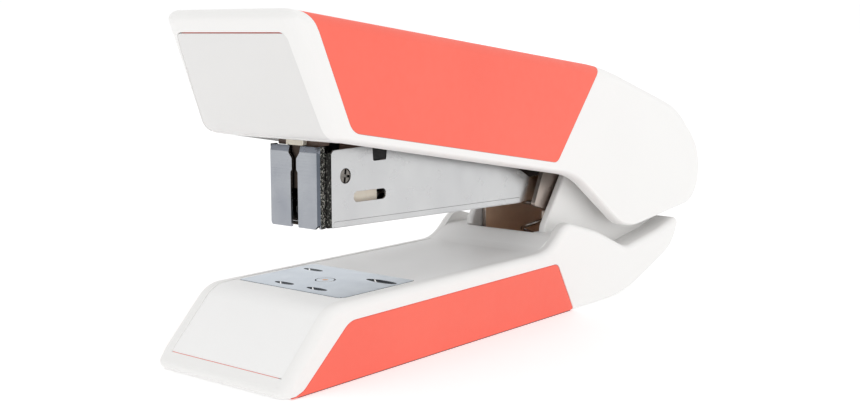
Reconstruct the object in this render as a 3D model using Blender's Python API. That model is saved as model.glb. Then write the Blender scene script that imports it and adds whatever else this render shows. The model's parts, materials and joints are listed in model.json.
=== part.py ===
"""Half-strip desk stapler with a reduced-effort drive, as separate working pieces.

Side-view sizes are in millimetres: x runs back from the toe of the base, z up from the table.
y runs across the stapler from its middle plane. The nose points to -X in the finished model.
"""
import bpy
import bmesh
from math import acos, ceil, cos, degrees, pi, radians, sin, tan
from mathutils import Matrix, Vector

MM = 0.001

# Driving sizes
LENGTH = 170.7
WIDTH = 38.5
HALF = WIDTH / 2
GAP = 0.3

# Hinges: everything above the base turns on the hinge pin, the handle on its own pin ahead of it
HINGE_X = 141.0
HINGE_Z = 43.0
HINGE_R = 2.0
HANDLE_X = 121.0
HANDLE_Z = 43.0
HANDLE_PIN_R = 1.8

# Base
RIM_Z = 16.6
PANEL_HALF = 16.3
PANEL_LOW = 4.2
DECK_DROP = 1.0
DECK_END = 86.0
SOLE_GAP = 0.2
BAY_HALF = 10.4
BAY_FLOOR = 10.0
CHEEK_IN = 10.5
CHEEK_OUT = 12.6
BASE_SCREWS = (103.0, 135.0)
BASE_SCREW_R = 1.75
LIFT_SPRING_X = 113.0

# Anvil
ANVIL_X = 31.75
ANVIL_LONG = 22.4
ANVIL_WIDE = 30.6
ANVIL_BOTTOM = 15.85
ANVIL_TOP = 16.55
STEM_HOLE_R = 2.6

# Magazine: a 24/6 staple is 12.9 wide, and the channel and the driver frame wrap round it
MAG_OUT = 7.05
MAG_IN = 6.55
MAG_SLOPE = -0.0277
NOSE_X = 22.0
NOSE_Z = 29.45
NOSE_TOP = 46.0
FRAME_OUT = 7.65
FRAME_IN = 7.2
RAIL_HALF = 5.6
RAIL_TOP = 35.6
ROD_Z = 33.0
ROD_R = 0.9
SPACER_X = 30.4
SPACER_Z = 40.1
RETURN_SPRING_X = 78.0

# Handle
WALL = 2.3
EAR_IN = 8.9
EAR_OUT = 10.1
YOKE_OUT = 8.6
YOKE_IN = 7.95
YOKE_SCREWS = (97.0, 127.0)
ROLLER_X = 100.0
ROLLER_Z = 52.9
PANEL_HIGH = 70.0
PANEL_BACK = 18.2

# Colours: linear RGB, roughness, metallic
FINISHES = {
    "white_shell": ((0.86, 0.86, 0.85), 0.42, 0.0),
    "white_panel": ((0.80, 0.80, 0.79), 0.45, 0.0),
    "coral_grip": ((1.0, 0.19, 0.135), 0.75, 0.0),
    "cream_nylon": ((0.80, 0.72, 0.58), 0.5, 0.0),
    "black_rubber": ((0.015, 0.015, 0.016), 0.7, 0.0),
    "sole_rubber": ((0.05, 0.05, 0.052), 0.8, 0.0),
    "chromed_steel": ((0.62, 0.63, 0.65), 0.22, 1.0),
    "zinc_steel": ((0.55, 0.60, 0.66), 0.3, 1.0),
    "dark_steel": ((0.22, 0.19, 0.17), 0.35, 1.0),
    "spring_steel": ((0.35, 0.35, 0.36), 0.35, 1.0),
}


def clear_scene():
    for old in list(bpy.data.objects):
        bpy.data.objects.remove(old, do_unlink=True)


def finish(name):
    if name in bpy.data.materials:
        return bpy.data.materials[name]
    colour, roughness, metallic = FINISHES[name]
    mat = bpy.data.materials.new(name)
    mat.use_nodes = True
    shader = mat.node_tree.nodes["Principled BSDF"]
    shader.inputs["Base Color"].default_value = (*colour, 1.0)
    shader.inputs["Roughness"].default_value = roughness
    shader.inputs["Metallic"].default_value = metallic
    return mat


def point(x, y, z):
    """A place in the model, in metres, from side-view millimetres."""
    return Vector(((x - LENGTH / 2) * MM, y * MM, z * MM))


# ---------------------------------------------------------------- outlines

def arc_points(corners, step):
    """The points of a cornered outline, each with the radius of the corner that it lies on."""
    outline = []
    count = len(corners)
    for i, (x, z, r) in enumerate(corners):
        here = Vector((x, z))
        before = (Vector(corners[i - 1][:2]) - here).normalized()
        after = (Vector(corners[(i + 1) % count][:2]) - here).normalized()
        turn = pi - acos(max(-1.0, min(1.0, before.dot(after))))
        if r <= 0 or turn < 0.01:
            outline.append((x, z, r))
            continue
        reach = r * tan(turn / 2)
        middle = (before + after).normalized()
        centre = here + middle * (r / cos(turn / 2))
        start = here + before * reach - centre
        side = 1 if before.x * after.y - before.y * after.x < 0 else -1
        steps = max(1, ceil(degrees(turn) / step))
        for k in range(steps + 1):
            angle = side * turn * k / steps
            outline.append((centre.x + start.x * cos(angle) - start.y * sin(angle),
                            centre.y + start.x * sin(angle) + start.y * cos(angle), r))
    return outline


def rounded(corners, step=15.0):
    """A closed outline from (x, z, radius) corners, each radius drawn as an arc."""
    return [(x, z) for x, z, r in arc_points(corners, step)]


def edge_radii(corners, step, fillet, depth=0.0):
    """An edge rounding for each outline point, small enough for the corner that it lies on."""
    return [max(0.15, min(fillet, 0.85 * r) - depth) for x, z, r in arc_points(corners, step)]


def area(outline):
    return sum(a[0] * b[1] - b[0] * a[1] for a, b in zip(outline, outline[1:] + outline[:1])) / 2


def inset(outline, depth):
    """The outline moved inwards by a depth, or by one depth for each of its points."""
    inward = 1 if area(outline) > 0 else -1
    count = len(outline)
    depths = depth if isinstance(depth, list) else [depth] * count
    moved = []
    for i in range(count):
        a = Vector(outline[i - 1])
        b = Vector(outline[i])
        c = Vector(outline[(i + 1) % count])
        n1 = Vector((-(b - a).y, (b - a).x)).normalized()
        n2 = Vector((-(c - b).y, (c - b).x)).normalized()
        miter = (n1 + n2).normalized()
        stretch = max(0.5, miter.dot(n2))
        place = b + miter * inward * depths[i] / stretch
        moved.append((place.x, place.y))
    return moved


def strip(path, thickness):
    """A closed outline of even thickness along an open path, growing to its right-hand side."""
    other = []
    for i, here in enumerate(path):
        before = Vector(path[max(i - 1, 0)])
        after = Vector(path[min(i + 1, len(path) - 1)])
        along = (after - before).normalized()
        other.append((here[0] + along.y * thickness, here[1] - along.x * thickness))
    return list(path) + other[::-1]


def shifted(path, depth):
    """An open path moved to its right-hand side."""
    return strip(path, depth)[len(path):][::-1]


# ---------------------------------------------------------------- solids

def solid(name, mesh_data, colour):
    mesh = bpy.data.meshes.new(name)
    bmesh.ops.recalc_face_normals(mesh_data, faces=mesh_data.faces)
    mesh_data.to_mesh(mesh)
    mesh_data.free()
    piece = bpy.data.objects.new(name, mesh)
    bpy.context.scene.collection.objects.link(piece)
    mesh.materials.append(finish(colour))
    return piece


def tube_of_rings(name, rings, colour):
    """A closed solid through rings of equal point counts, with both ends capped."""
    shape = bmesh.new()
    rows = [[shape.verts.new(p) for p in ring] for ring in rings]
    count = len(rings[0])
    for low, high in zip(rows, rows[1:]):
        for i in range(count):
            j = (i + 1) % count
            shape.faces.new((low[i], low[j], high[j], high[i]))
    shape.faces.new(rows[0][::-1])
    shape.faces.new(rows[-1])
    return solid(name, shape, colour)


def slab(name, outline, y0, y1, colour="white_shell"):
    """A side-view outline carried across from y0 to y1."""
    rings = [[point(x, y, z) for x, z in outline] for y in (y0, y1)]
    return tube_of_rings(name, rings, colour)


def plate(name, outline, z0, z1, colour="white_shell"):
    """A plan-view outline carried up from z0 to z1."""
    rings = [[point(x, y, z) for x, y in outline] for z in (z0, z1)]
    return tube_of_rings(name, rings, colour)


def pillow(name, outline, radii, half=HALF, steps=4, colour="white_shell"):
    """A side-view outline carried across the full width, its long edges rounded to a radius."""
    near = []
    for k in range(steps + 1):
        angle = pi / 2 * k / steps
        ring = inset(outline, [r * (1 - cos(angle)) for r in radii])
        near.append([(x, half - r + r * sin(angle), z) for (x, z), r in zip(ring, radii)])
    rings = [[point(x, y, z) for x, y, z in ring] for ring in near[::-1]]
    rings += [[point(x, -y, z) for x, y, z in ring] for ring in near]
    return tube_of_rings(name, rings, colour)


def block(name, x0, x1, y0, y1, z0, z1, colour="white_shell"):
    return slab(name, [(x0, z0), (x1, z0), (x1, z1), (x0, z1)], y0, y1, colour)


def rod(name, start, end, radius, colour="chromed_steel", sides=24):
    """A round bar between two points, each a side-view (x, y, z)."""
    a = point(*start)
    b = point(*end)
    axis = (b - a).normalized()
    across = axis.orthogonal().normalized()
    up = axis.cross(across)
    rings = []
    for centre in (a, b):
        angles = [2 * pi * (i + 0.5) / sides for i in range(sides)]
        rings.append([centre + (across * cos(t) + up * sin(t)) * radius * MM for t in angles])
    return tube_of_rings(name, rings, colour)


def pin_y(name, x, z, y0, y1, radius, colour="chromed_steel", sides=24):
    return rod(name, (x, y0, z), (x, y1, z), radius, colour, sides)


def pin_z(name, x, y, z0, z1, radius, colour="chromed_steel", sides=20):
    return rod(name, (x, y, z0), (x, y, z1), radius, colour, sides)


def apply_boolean(piece, tool, operation):
    tool.hide_render = True
    tool.display_type = "WIRE"
    step = piece.modifiers.new("step", "BOOLEAN")
    step.operation = operation
    step.solver = "EXACT"
    step.object = tool
    bpy.context.view_layer.update()
    graph = bpy.context.evaluated_depsgraph_get()
    result = bpy.data.meshes.new_from_object(piece.evaluated_get(graph))
    piece.modifiers.clear()
    piece.data = result
    bpy.data.objects.remove(tool, do_unlink=True)


def cut(piece, *tools):
    for tool in tools:
        apply_boolean(piece, tool, "DIFFERENCE")
    return piece


def join(piece, *tools):
    for tool in tools:
        apply_boolean(piece, tool, "UNION")
    return piece


def keep(piece, tool):
    apply_boolean(piece, tool, "INTERSECT")
    return piece


def mirrored_pair(make):
    """The same piece made on the left (-y, the near side) and on the right."""
    return [make("left", -1), make("right", 1)]


def coil(name, centre, radius, wire, start, end, turns, axis="Z"):
    """A helical spring as one curve along z or x, with closed end turns."""
    per_turn = 9
    count = int(turns * per_turn)
    line = bpy.data.curves.new(name, "CURVE")
    line.dimensions = "3D"
    line.bevel_depth = wire / 2 * MM
    line.bevel_resolution = 0
    line.use_fill_caps = True
    spline = line.splines.new("POLY")
    spline.points.add(count)
    for i in range(count + 1):
        share = i / count
        turn = 2 * pi * i / per_turn
        along = start + (end - start) * share
        if axis == "Z":
            place = point(centre[0] + radius * cos(turn), centre[1] + radius * sin(turn), along)
        else:
            drop = MAG_SLOPE * (along - NOSE_X)
            place = point(along, centre[0] + radius * cos(turn), centre[1] + drop + radius * sin(turn))
        spline.points[i].co = (*place, 1.0)
    piece = bpy.data.objects.new(name, line)
    bpy.context.scene.collection.objects.link(piece)
    line.materials.append(finish("spring_steel"))
    return piece


# ---------------------------------------------------------------- shared outlines

CURVE_STEP = 12.0
BASE_CORNERS = [
    (-1.3, SOLE_GAP, 1.5), (2.1, 4.8, 5.0), (13.6, RIM_Z, 8.0),
    (91.3, RIM_Z, 12.0), (97.8, 23.4, 4.0), (114.0, 19.2, 40.0), (129.0, 12.7, 9.0),
    (146.0, 15.2, 30.0), (158.9, 18.3, 1.5), (155.2, 10.3, 11.0), (127.5, SOLE_GAP, 55.0),
    (104.0, SOLE_GAP, 0.0),
]
HEAD_CORNERS = [
    (3.4, 75.0, 1.8), (116.0, 61.4, 80.0), (156.0, 49.5, 30.0),
    (171.6, 36.4, 14.0), (169.2, 21.5, 7.5), (146.0, 19.2, 60.0),
    (128.0, 17.4, 13.0), (103.0, 34.3, 26.0), (13.3, 49.3, 4.6),
]
BASE_FILLET = 2.0
HEAD_FILLET = 2.3
GRIP_THICK = 1.0


def base_outline():
    return rounded(BASE_CORNERS, CURVE_STEP)


def head_outline():
    return rounded(HEAD_CORNERS, CURVE_STEP)


def head_pillow(name, depth, colour="white_shell"):
    """The handle's outer form, or the same form sunk by a depth all over."""
    radii = edge_radii(HEAD_CORNERS, CURVE_STEP, HEAD_FILLET, depth)
    return pillow(name, inset(head_outline(), depth), radii, half=HALF - depth, steps=3, colour=colour)


def reach_at(outline, height):
    """The foremost x of an outline at a height."""
    found = []
    for (x0, z0), (x1, z1) in zip(outline, outline[1:] + outline[:1]):
        if min(z0, z1) <= height < max(z0, z1):
            found.append(x0 + (x1 - x0) * (height - z0) / (z1 - z0))
    return min(found)


def front_path(low, high, depth):
    """The base's front slope and deck, from height low up and back to x = high, sunk by a depth."""
    outline = base_outline()
    path = [p for p in outline if p[1] > low + 0.3 and p[0] < 60.0]
    path = [(reach_at(outline, low), low)] + path + [(high, RIM_Z)]
    return shifted(path, depth)


# ---------------------------------------------------------------- base

def base_shell():
    shell = pillow("base_shell", base_outline(), edge_radii(BASE_CORNERS, CURVE_STEP, BASE_FILLET), steps=3)
    hollow = rounded([
        (5.2, -2.0, 0.0), (5.2, 3.4, 1.0), (16.0, 12.2, 3.0), (92.0, 12.2, 2.0),
        (92.0, 7.6, 1.0), (112.0, 7.6, 1.0), (112.0, -2.0, 0.0),
    ])
    cut(shell, slab("hollow", hollow, -16.4, 16.4))
    cut(shell, block("bay", 97.0, 141.0, -BAY_HALF, BAY_HALF, BAY_FLOOR, 40.0))
    seat = strip(front_path(PANEL_LOW - GAP, DECK_END + 2 * GAP, -1.0), DECK_DROP + 2.35)
    cut(shell, slab("deck_seat", seat, -PANEL_HALF - GAP, PANEL_HALF + GAP))
    for side in (-1, 1):
        y0, y1 = sorted((side * (HALF - 1.15), side * (HALF + 2.0)))
        cut(shell, slab("inlay_seat", base_inlay_outline(GAP), y0, y1))
    cut(shell, pin_z("stem_hole", ANVIL_X, 0.0, 5.0, 20.0, STEM_HOLE_R))
    for x, low in zip(BASE_SCREWS, (1.0, 7.0)):
        cut(shell, pin_z("screw_hole", x, 0.0, low, 14.0, BASE_SCREW_R, sides=12))
    return shell


def cheek_outline():
    return rounded([
        (97.2, 12.0, 0.0), (98.9, 21.6, 3.0), (114.5, 43.2, 9.0), (134.0, 49.4, 8.0),
        (147.5, 49.4, 6.5), (149.5, 33.0, 12.0), (143.0, 12.0, 0.0),
    ])


def add_cheeks(shell):
    """The two white cheeks that rise from the base and carry the hinge pin."""
    for side in (-1, 1):
        y0, y1 = sorted((side * CHEEK_IN, side * CHEEK_OUT))
        join(shell, slab("cheek", cheek_outline(), y0, y1))
    cut(shell, pin_y("pin_hole", HINGE_X, HINGE_Z, -20.0, 20.0, HINGE_R + 0.2))


def base_inlay_outline(grow):
    outline = rounded([
        (6.0, SOLE_GAP, 0.8), (19.1, 12.5, 5.0), (94.8, 13.1, 2.4), (102.2, SOLE_GAP, 1.0),
    ])
    if grow:
        outline = inset(outline, -grow)
    return outline


def base_inlay(label, side):
    y0, y1 = sorted((side * (HALF - 0.85), side * HALF))
    return slab("base_inlay_" + label, base_inlay_outline(0.0), y0, y1, "coral_grip")


def base_deck():
    """The front face and the deck in one moulding, sunk a little between the rims."""
    moulding = strip(front_path(PANEL_LOW, DECK_END, DECK_DROP), 1.05)
    deck = slab("base_deck", moulding, -PANEL_HALF, PANEL_HALF, "white_panel")
    return cut(deck, pin_z("stem_hole", ANVIL_X, 0.0, 5.0, 20.0, STEM_HOLE_R))


def base_sole():
    plan = rounded([(6.0, -16.0, 3.0), (111.4, -16.0, 3.0), (111.4, 16.0, 3.0), (6.0, 16.0, 3.0)], 30.0)
    sole = plate("base_sole", plan, 0.0, 1.8, "sole_rubber")
    cut(sole, pin_z("button_hole", ANVIL_X, 0.0, -1.0, 3.0, 6.3))
    return sole


def bracket_ear_outline():
    return rounded([
        (102.6, BAY_FLOOR + GAP, 0.0), (102.6, 25.2, 1.0), (97.4, 26.6, 0.8), (101.9, 36.0, 4.0),
        (114.5, 45.0, 8.0), (134.0, 49.0, 8.0), (147.3, 49.0, 6.0), (146.0, 33.0, 8.0),
        (138.5, 22.0, 4.0), (138.5, BAY_FLOOR + GAP, 0.0),
    ])


def base_bracket():
    """The steel bracket: a floor screwed to the base, with two ears for the hinge pin."""
    bracket = block("base_bracket", 99.4, 140.2, -EAR_OUT, EAR_OUT, BAY_FLOOR + GAP, 11.5, "dark_steel")
    for side in (-1, 1):
        y0, y1 = sorted((side * EAR_IN, side * EAR_OUT))
        join(bracket, slab("ear", bracket_ear_outline(), y0, y1, "dark_steel"))
    cut(bracket, pin_y("pin_hole", HINGE_X, HINGE_Z, -20.0, 20.0, HINGE_R + 0.15))
    for x in BASE_SCREWS:
        cut(bracket, pin_z("screw_hole", x, 0.0, 8.0, 14.0, BASE_SCREW_R, sides=12))
    return bracket


def screw(name, x, y, z_head, z_tip, shank=1.4, head=2.6, head_height=1.2):
    """A pan-head screw with a cross recess; the tip may lie above or below its head."""
    way = 1 if z_tip < z_head else -1
    body = pin_z(name, x, y, *sorted((z_head + way * 0.3, z_tip)), shank, "chromed_steel", 12)
    join(body, pin_z("head", x, y, *sorted((z_head, z_head + way * head_height)), head, sides=12))
    for angle in (0.0, pi / 2):
        arm = block("arm", x - 1.3, x + 1.3, y - 0.25, y + 0.25, z_head + way * 0.5,
                    z_head + way * (head_height + 1.0))
        if angle:
            centre = point(x, y, 0.0)
            arm.data.transform(Matrix.Translation(centre) @ Matrix.Rotation(angle, 4, "Z")
                               @ Matrix.Translation(-centre))
        cut(body, arm)
    return body


def hinge_pin():
    pin = pin_y("hinge_pin", HINGE_X, HINGE_Z, -14.9, 13.0 + 2.6, HINGE_R)
    join(pin, pin_y("head", HINGE_X, HINGE_Z, -15.2, -12.95, 3.4))
    groove = pin_y("groove", HINGE_X, HINGE_Z, 13.1, 14.1, HINGE_R + 1.0)
    cut(groove, pin_y("core", HINGE_X, HINGE_Z, 12.0, 15.0, HINGE_R - 0.5))
    return cut(pin, groove)


def hinge_clip():
    clip = pin_y("hinge_clip", HINGE_X, HINGE_Z, 13.3, 13.9, 4.0, "spring_steel")
    cut(clip, pin_y("core", HINGE_X, HINGE_Z, 13.0, 14.2, HINGE_R - 0.3))
    mouth = block("mouth", HINGE_X - 1.1, HINGE_X + 1.1, 13.0, 14.2, HINGE_Z - 6.0, HINGE_Z)
    return cut(clip, mouth)


def hinge_washer(label, side):
    y0, y1 = sorted((side * 7.95, side * 8.6))
    washer = pin_y("hinge_washer_" + label, HINGE_X, HINGE_Z, y0, y1, 4.2, "cream_nylon")
    return cut(washer, pin_y("bore", HINGE_X, HINGE_Z, -12.0, 12.0, HINGE_R + 0.15))


# ---------------------------------------------------------------- anvil

def recess(x, y, wide, long, depth=0.5):
    """A cutter shaped like a shallow boat, for one staple-forming pocket."""
    shape = bmesh.new()
    bmesh.ops.create_uvsphere(shape, u_segments=12, v_segments=6, radius=1.0)
    scale = Matrix.Diagonal((wide / 2 * MM, long / 2 * MM, depth * MM, 1.0))
    shape.transform(Matrix.Translation(point(x, y, ANVIL_TOP + 0.02)) @ scale)
    return solid("recess", shape, "zinc_steel")


def anvil_plate():
    x0 = ANVIL_X - ANVIL_LONG / 2
    x1 = ANVIL_X + ANVIL_LONG / 2
    y = ANVIL_WIDE / 2
    plan = rounded([(x0, -y, 1.5), (x1, -y, 1.5), (x1, y, 1.5), (x0, y, 1.5)], 30.0)
    anvil = plate("anvil_plate", plan, ANVIL_BOTTOM, ANVIL_TOP, "zinc_steel")
    for side in (-1, 1):
        cut(anvil, recess(24.4, side * 4.7, 2.6, 5.6))
        cut(anvil, recess(39.2, side * 10.6, 2.8, 6.4))
    return cut(anvil, pin_z("stem_hole", ANVIL_X, 0.0, 10.0, 20.0, 2.15))


def anvil_stem():
    stem = pin_z("anvil_stem", ANVIL_X, 0.0, 2.0, ANVIL_TOP + 0.1, 1.85, "chromed_steel")
    join(stem, pin_z("button", ANVIL_X, 0.0, 0.6, 2.4, 5.8))
    return stem


# ---------------------------------------------------------------- magazine

def sloped(x, z):
    """A height on the magazine at x, given its height at the nose."""
    return z + MAG_SLOPE * (x - NOSE_X)


def run(x0, x1, low, high):
    """A straight bar's outline along the magazine, its heights given at the nose."""
    return [(x0, sloped(x0, low)), (x1, sloped(x1, low)), (x1, sloped(x1, high)), (x0, sloped(x0, high))]


def along_rod(name, x0, x1, radius, colour="chromed_steel"):
    """A round bar on the pusher rod's axis."""
    ends = [(x, 0.0, sloped(x, ROD_Z)) for x in (x0, x1)]
    return rod(name, *ends, radius, colour, sides=12)


def magazine_wall_outline():
    return rounded([
        (25.2, NOSE_Z + 0.1, 0.0), (25.2, 38.4, 0.0), (96.0, sloped(96.0, 38.4), 8.0), (112.0, 39.6, 10.0),
        (128.0, 40.2, 8.0), (136.0, 48.6, 5.0), (146.4, 48.6, 5.0), (146.4, 37.6, 5.0),
        (122.0, sloped(122.0, NOSE_Z) - 0.4, 8.0),
    ])


def magazine_body():
    """The staple channel: a folded sheet with a floor, two walls and the nose bent round in front."""
    body = slab("magazine_body", magazine_wall_outline(), -MAG_OUT, MAG_OUT, "chromed_steel")
    cut(body, slab("inside", run(20.0, 160.0, NOSE_Z + 0.6, 70.0), -MAG_IN, MAG_IN))
    nose = rounded([
        (NOSE_X, NOSE_Z, 0.6), (NOSE_X, NOSE_TOP, 0.8), (25.4, NOSE_TOP, 0.8), (25.4, NOSE_Z, 0.0),
    ], 30.0)
    flange = slab("nose", nose, -MAG_OUT, MAG_OUT)
    cut(flange, block("blade_way", NOSE_X + 0.8, 26.0, -MAG_IN, MAG_IN, 20.0, 60.0))
    cut(flange, block("centre_slot", 20.0, 23.5, -1.15, 1.15, 20.0, 60.0))
    join(body, flange)
    cut(body, block("staple_exit", NOSE_X + 0.8, 24.1, -MAG_IN, MAG_IN, 20.0, 34.0))
    cut(body, pin_y("pin_hole", HINGE_X, HINGE_Z, -20.0, 20.0, HINGE_R + 0.15))
    window = rounded([(32.6, 33.9, 1.3), (43.1, 33.9, 1.3), (43.1, 36.8, 1.3), (32.6, 36.8, 1.3)], 30.0)
    cut(body, slab("window", window, -20.0, 20.0))
    return body


def staple_rail():
    """The inverted channel that the staples straddle, with a slot for the pusher's fin."""
    rail = slab("staple_rail", run(24.4, 98.0, 30.35, RAIL_TOP), -RAIL_HALF, RAIL_HALF, "chromed_steel")
    cut(rail, slab("inside", run(25.4, 97.0, 20.0, 35.0), -RAIL_HALF + 0.6, RAIL_HALF - 0.6))
    cut(rail, slab("fin_slot", run(28.0, 95.0, 34.0, 40.0), -1.1, 1.1))
    return cut(rail, along_rod("rod_hole", 20.0, 26.0, ROD_R + 0.2))


def pusher_rod():
    return along_rod("pusher_rod", 24.6, 96.7, ROD_R)


def pusher():
    """The cream block that pushes the staples: a saddle on the rail, a fin and a ring on the rod."""
    body = slab("pusher", run(24.3, 41.0, 30.6, 38.0), -6.2, 6.2, "cream_nylon")
    cut(body, slab("over_rail", run(20.0, 60.0, 20.0, RAIL_TOP + 0.35), -RAIL_HALF - 0.3, RAIL_HALF + 0.3))
    join(body, slab("fin", run(29.0, 36.0, 31.0, 36.4), -0.75, 0.75))
    join(body, slab("ring", run(29.0, 36.0, 31.1, 34.6), -2.1, 2.1))
    return cut(body, along_rod("bore", 20.0, 50.0, ROD_R + 0.25))


# ---------------------------------------------------------------- driver frame and drive

def frame_side_outline():
    return rounded([
        (25.55, 29.35, 0.5), (94.0, 27.45, 3.0), (101.0, 28.2, 1.4), (102.3, 31.8, 1.0), (94.5, 35.6, 14.0),
        (87.6, 37.5, 1.0), (91.0, 39.4, 2.0), (116.0, 38.0, 4.0), (146.6, 37.6, 5.0), (146.6, 48.4, 5.0),
        (92.0, 48.4, 10.0), (76.0, 44.6, 6.0), (60.0, 46.4, 4.0), (25.55, 46.4, 0.8),
    ])


def driver_frame():
    """Two side plates over the magazine, tied by a web; they carry the arm, blade and handle."""
    frame = slab("driver_frame", frame_side_outline(), -FRAME_OUT, FRAME_OUT, "chromed_steel")
    above = [(20.0, 20.0), (160.0, 20.0), (160.0, 60.0), (20.0, 60.0)]
    inner = slab("inner", above, -FRAME_IN, FRAME_IN)
    web = slab("web", [(62.0, 39.2), (92.0, 39.6), (92.0, 40.2), (62.0, 39.8)], -10.0, 10.0)
    cut(inner, web)
    cut(frame, inner)
    slot = rounded([(32.9, 34.2, 1.1), (42.8, 34.0, 1.1), (42.8, 36.3, 1.1), (32.9, 36.5, 1.1)], 30.0)
    cut(frame, slab("slot", slot, -20.0, 20.0))
    cut(frame, pin_y("rivet_hole", SPACER_X, SPACER_Z, -20.0, 20.0, 1.63))
    cut(frame, pin_y("pin_hole", HINGE_X, HINGE_Z, -20.0, 20.0, HINGE_R + 0.15))
    cut(frame, pin_y("handle_hole", HANDLE_X, HANDLE_Z, -20.0, 20.0, HANDLE_PIN_R + 0.15))
    notch = [(38.6, 42.7), (42.6, 42.7), (43.4, 50.0), (37.9, 50.0)]
    cut(frame, slab("notch", notch, -20.0, 20.0))
    return frame


def nose_spacer():
    """The riveted pin that holds the two side plates apart above the staples."""
    spacer = pin_y("nose_spacer", SPACER_X, SPACER_Z, -7.5, 7.5, 1.4, sides=16)
    for angle in (pi / 4, -pi / 4):
        for side in (-1, 1):
            y0, y1 = sorted((side * 7.2, side * 8.0))
            arm = block("arm", SPACER_X - 1.8, SPACER_X + 1.8, y0, y1, SPACER_Z - 0.2, SPACER_Z + 0.2)
            centre = point(SPACER_X, 0.0, SPACER_Z)
            arm.data.transform(Matrix.Translation(centre) @ Matrix.Rotation(angle, 4, "Y")
                               @ Matrix.Translation(-centre))
            cut(spacer, arm)
    return spacer


def stop_bumper():
    """The black rubber stop that the handle's press ends on, held in the frame's notches."""
    bumper = block("stop_bumper", 38.95, 42.25, -6.9, 6.9, 40.9, 42.4, "black_rubber")
    for side in (-1, 1):
        y0, y1 = sorted((side * 5.8, side * 6.9))
        join(bumper, block("post", 38.95, 42.25, y0, y1, 41.5, 46.8))
        y0, y1 = sorted((side * 6.5, side * 7.85))
        join(bumper, block("lug", 38.95, 42.25, y0, y1, 43.05, 46.8))
    return bumper


def drive_arm():
    """The steel arm from the hinge pin to the blade; the handle's roller bears on its back."""
    side = rounded([
        (20.9, 50.6, 0.0), (24.2, 50.6, 0.0), (24.2, 49.9, 0.0), (95.0, 48.5, 30.0), (131.0, 47.0, 6.0),
        (136.2, 38.2, 4.6), (145.8, 38.2, 4.6), (145.8, 47.9, 4.6), (136.0, 49.2, 6.0), (100.0, 50.6, 20.0),
        (24.2, 52.4, 0.0), (20.9, 52.4, 0.0),
    ])
    arm = slab("drive_arm", side, -5.4, 5.4, "chromed_steel")
    for sign in (-1, 1):
        y0, y1 = sorted((sign * 0.45, sign * 9.0))
        cut(arm, block("beside_tab", 18.0, 24.3, y0, y1, 45.0, 60.0))
    cut(arm, pin_y("pin_hole", HINGE_X, HINGE_Z, -20.0, 20.0, HINGE_R + 0.15))
    return arm


def driver_blade():
    blade = block("driver_blade", 23.05, 23.75, -6.3, 6.3, 37.6, 54.4, "chromed_steel")
    window = block("window", 22.0, 25.0, -0.9, 0.9, 50.2, 52.8)
    return cut(blade, window)


def blade_holder():
    """The cream moulding that backs the blade and slides down with it."""
    return block("blade_holder", 24.05, 27.4, -6.0, 6.0, 46.6, 49.2, "cream_nylon")


# ---------------------------------------------------------------- handle

def grip_outline(grow):
    """The coral saddle's side outline, open at the top so that it wraps over the handle."""
    outline = rounded([
        (5.4, 80.0, 0.0), (8.6, 74.6, 0.0), (11.2, 70.2, 2.0), (20.3, 50.4, 4.0), (93.9, 38.5, 2.6),
        (113.3, 61.6, 3.0), (114.9, 80.0, 0.0),
    ])
    if grow:
        outline = inset(outline, -grow)
    return outline


def handle_shell():
    shell = head_pillow("handle_shell", 0.0)
    ring = slab("ring", grip_outline(GAP), -30.0, 30.0)
    cut(ring, head_pillow("core", GRIP_THICK + GAP))
    cut(shell, ring)
    wall = WALL + GRIP_THICK
    hollow = rounded([
        (9.6, 71.4, 1.0), (116.0, 58.3, 60.0), (154.5, 46.5, 24.0), (166.6, 36.0, 9.0), (164.5, 8.0, 0.0),
        (90.0, 8.0, 0.0), (19.6, 40.0, 0.0), (19.6, 50.0, 2.0), (15.2, 56.0, 2.0),
    ])
    cut(shell, slab("hollow", hollow, -HALF + wall - 0.4, HALF - wall + 0.4))
    seat = strip(nose_path(PANEL_HIGH + GAP, -1.0), 2.35)
    cut(shell, slab("nose_seat", seat, -PANEL_HALF - GAP, PANEL_HALF + GAP))
    for x, top in zip(YOKE_SCREWS, (61.2, 55.9)):
        join(shell, pin_z("boss", x, 0.0, yoke_top(x - 3.4) + GAP, top, 3.4, sides=16))
        cut(shell, pin_z("boss_hole", x, 0.0, yoke_top(x) - 2.0, yoke_top(x) + 2.4, 1.6, sides=12))
    return shell


def nose_path(high, depth):
    """The handle's front face, round its lower edge and up to a height, sunk by a depth."""
    outline = head_outline()
    bend = [p for p in outline if p[0] < PANEL_BACK and 40.0 < p[1] < high - 4.0]
    bend.sort(key=lambda p: -p[0])
    return shifted(bend + [(reach_at(outline, high), high)], depth)


def nose_panel():
    moulding = strip(nose_path(PANEL_HIGH, 0.25), 1.0)
    return slab("nose_panel", moulding, -PANEL_HALF, PANEL_HALF, "white_panel")


def handle_grip():
    """The soft coral saddle: both sides and the top of the handle in one moulding."""
    grip = head_pillow("handle_grip", 0.0, "coral_grip")
    cut(grip, head_pillow("core", GRIP_THICK))
    return keep(grip, slab("region", grip_outline(0.0), -30.0, 30.0))


def yoke_top(x):
    """The height of the steel yoke's flat top inside the handle."""
    return 59.4 - 0.155 * (x - 90.0)


def yoke_outline():
    return rounded([
        (91.0, yoke_top(91.0), 0.8), (131.0, yoke_top(131.0), 0.8), (131.0, 46.0, 4.0),
        (126.2, 37.8, 5.0), (115.8, 37.8, 5.0), (112.0, 47.4, 3.0), (94.0, 47.4, 3.0),
    ])


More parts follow.
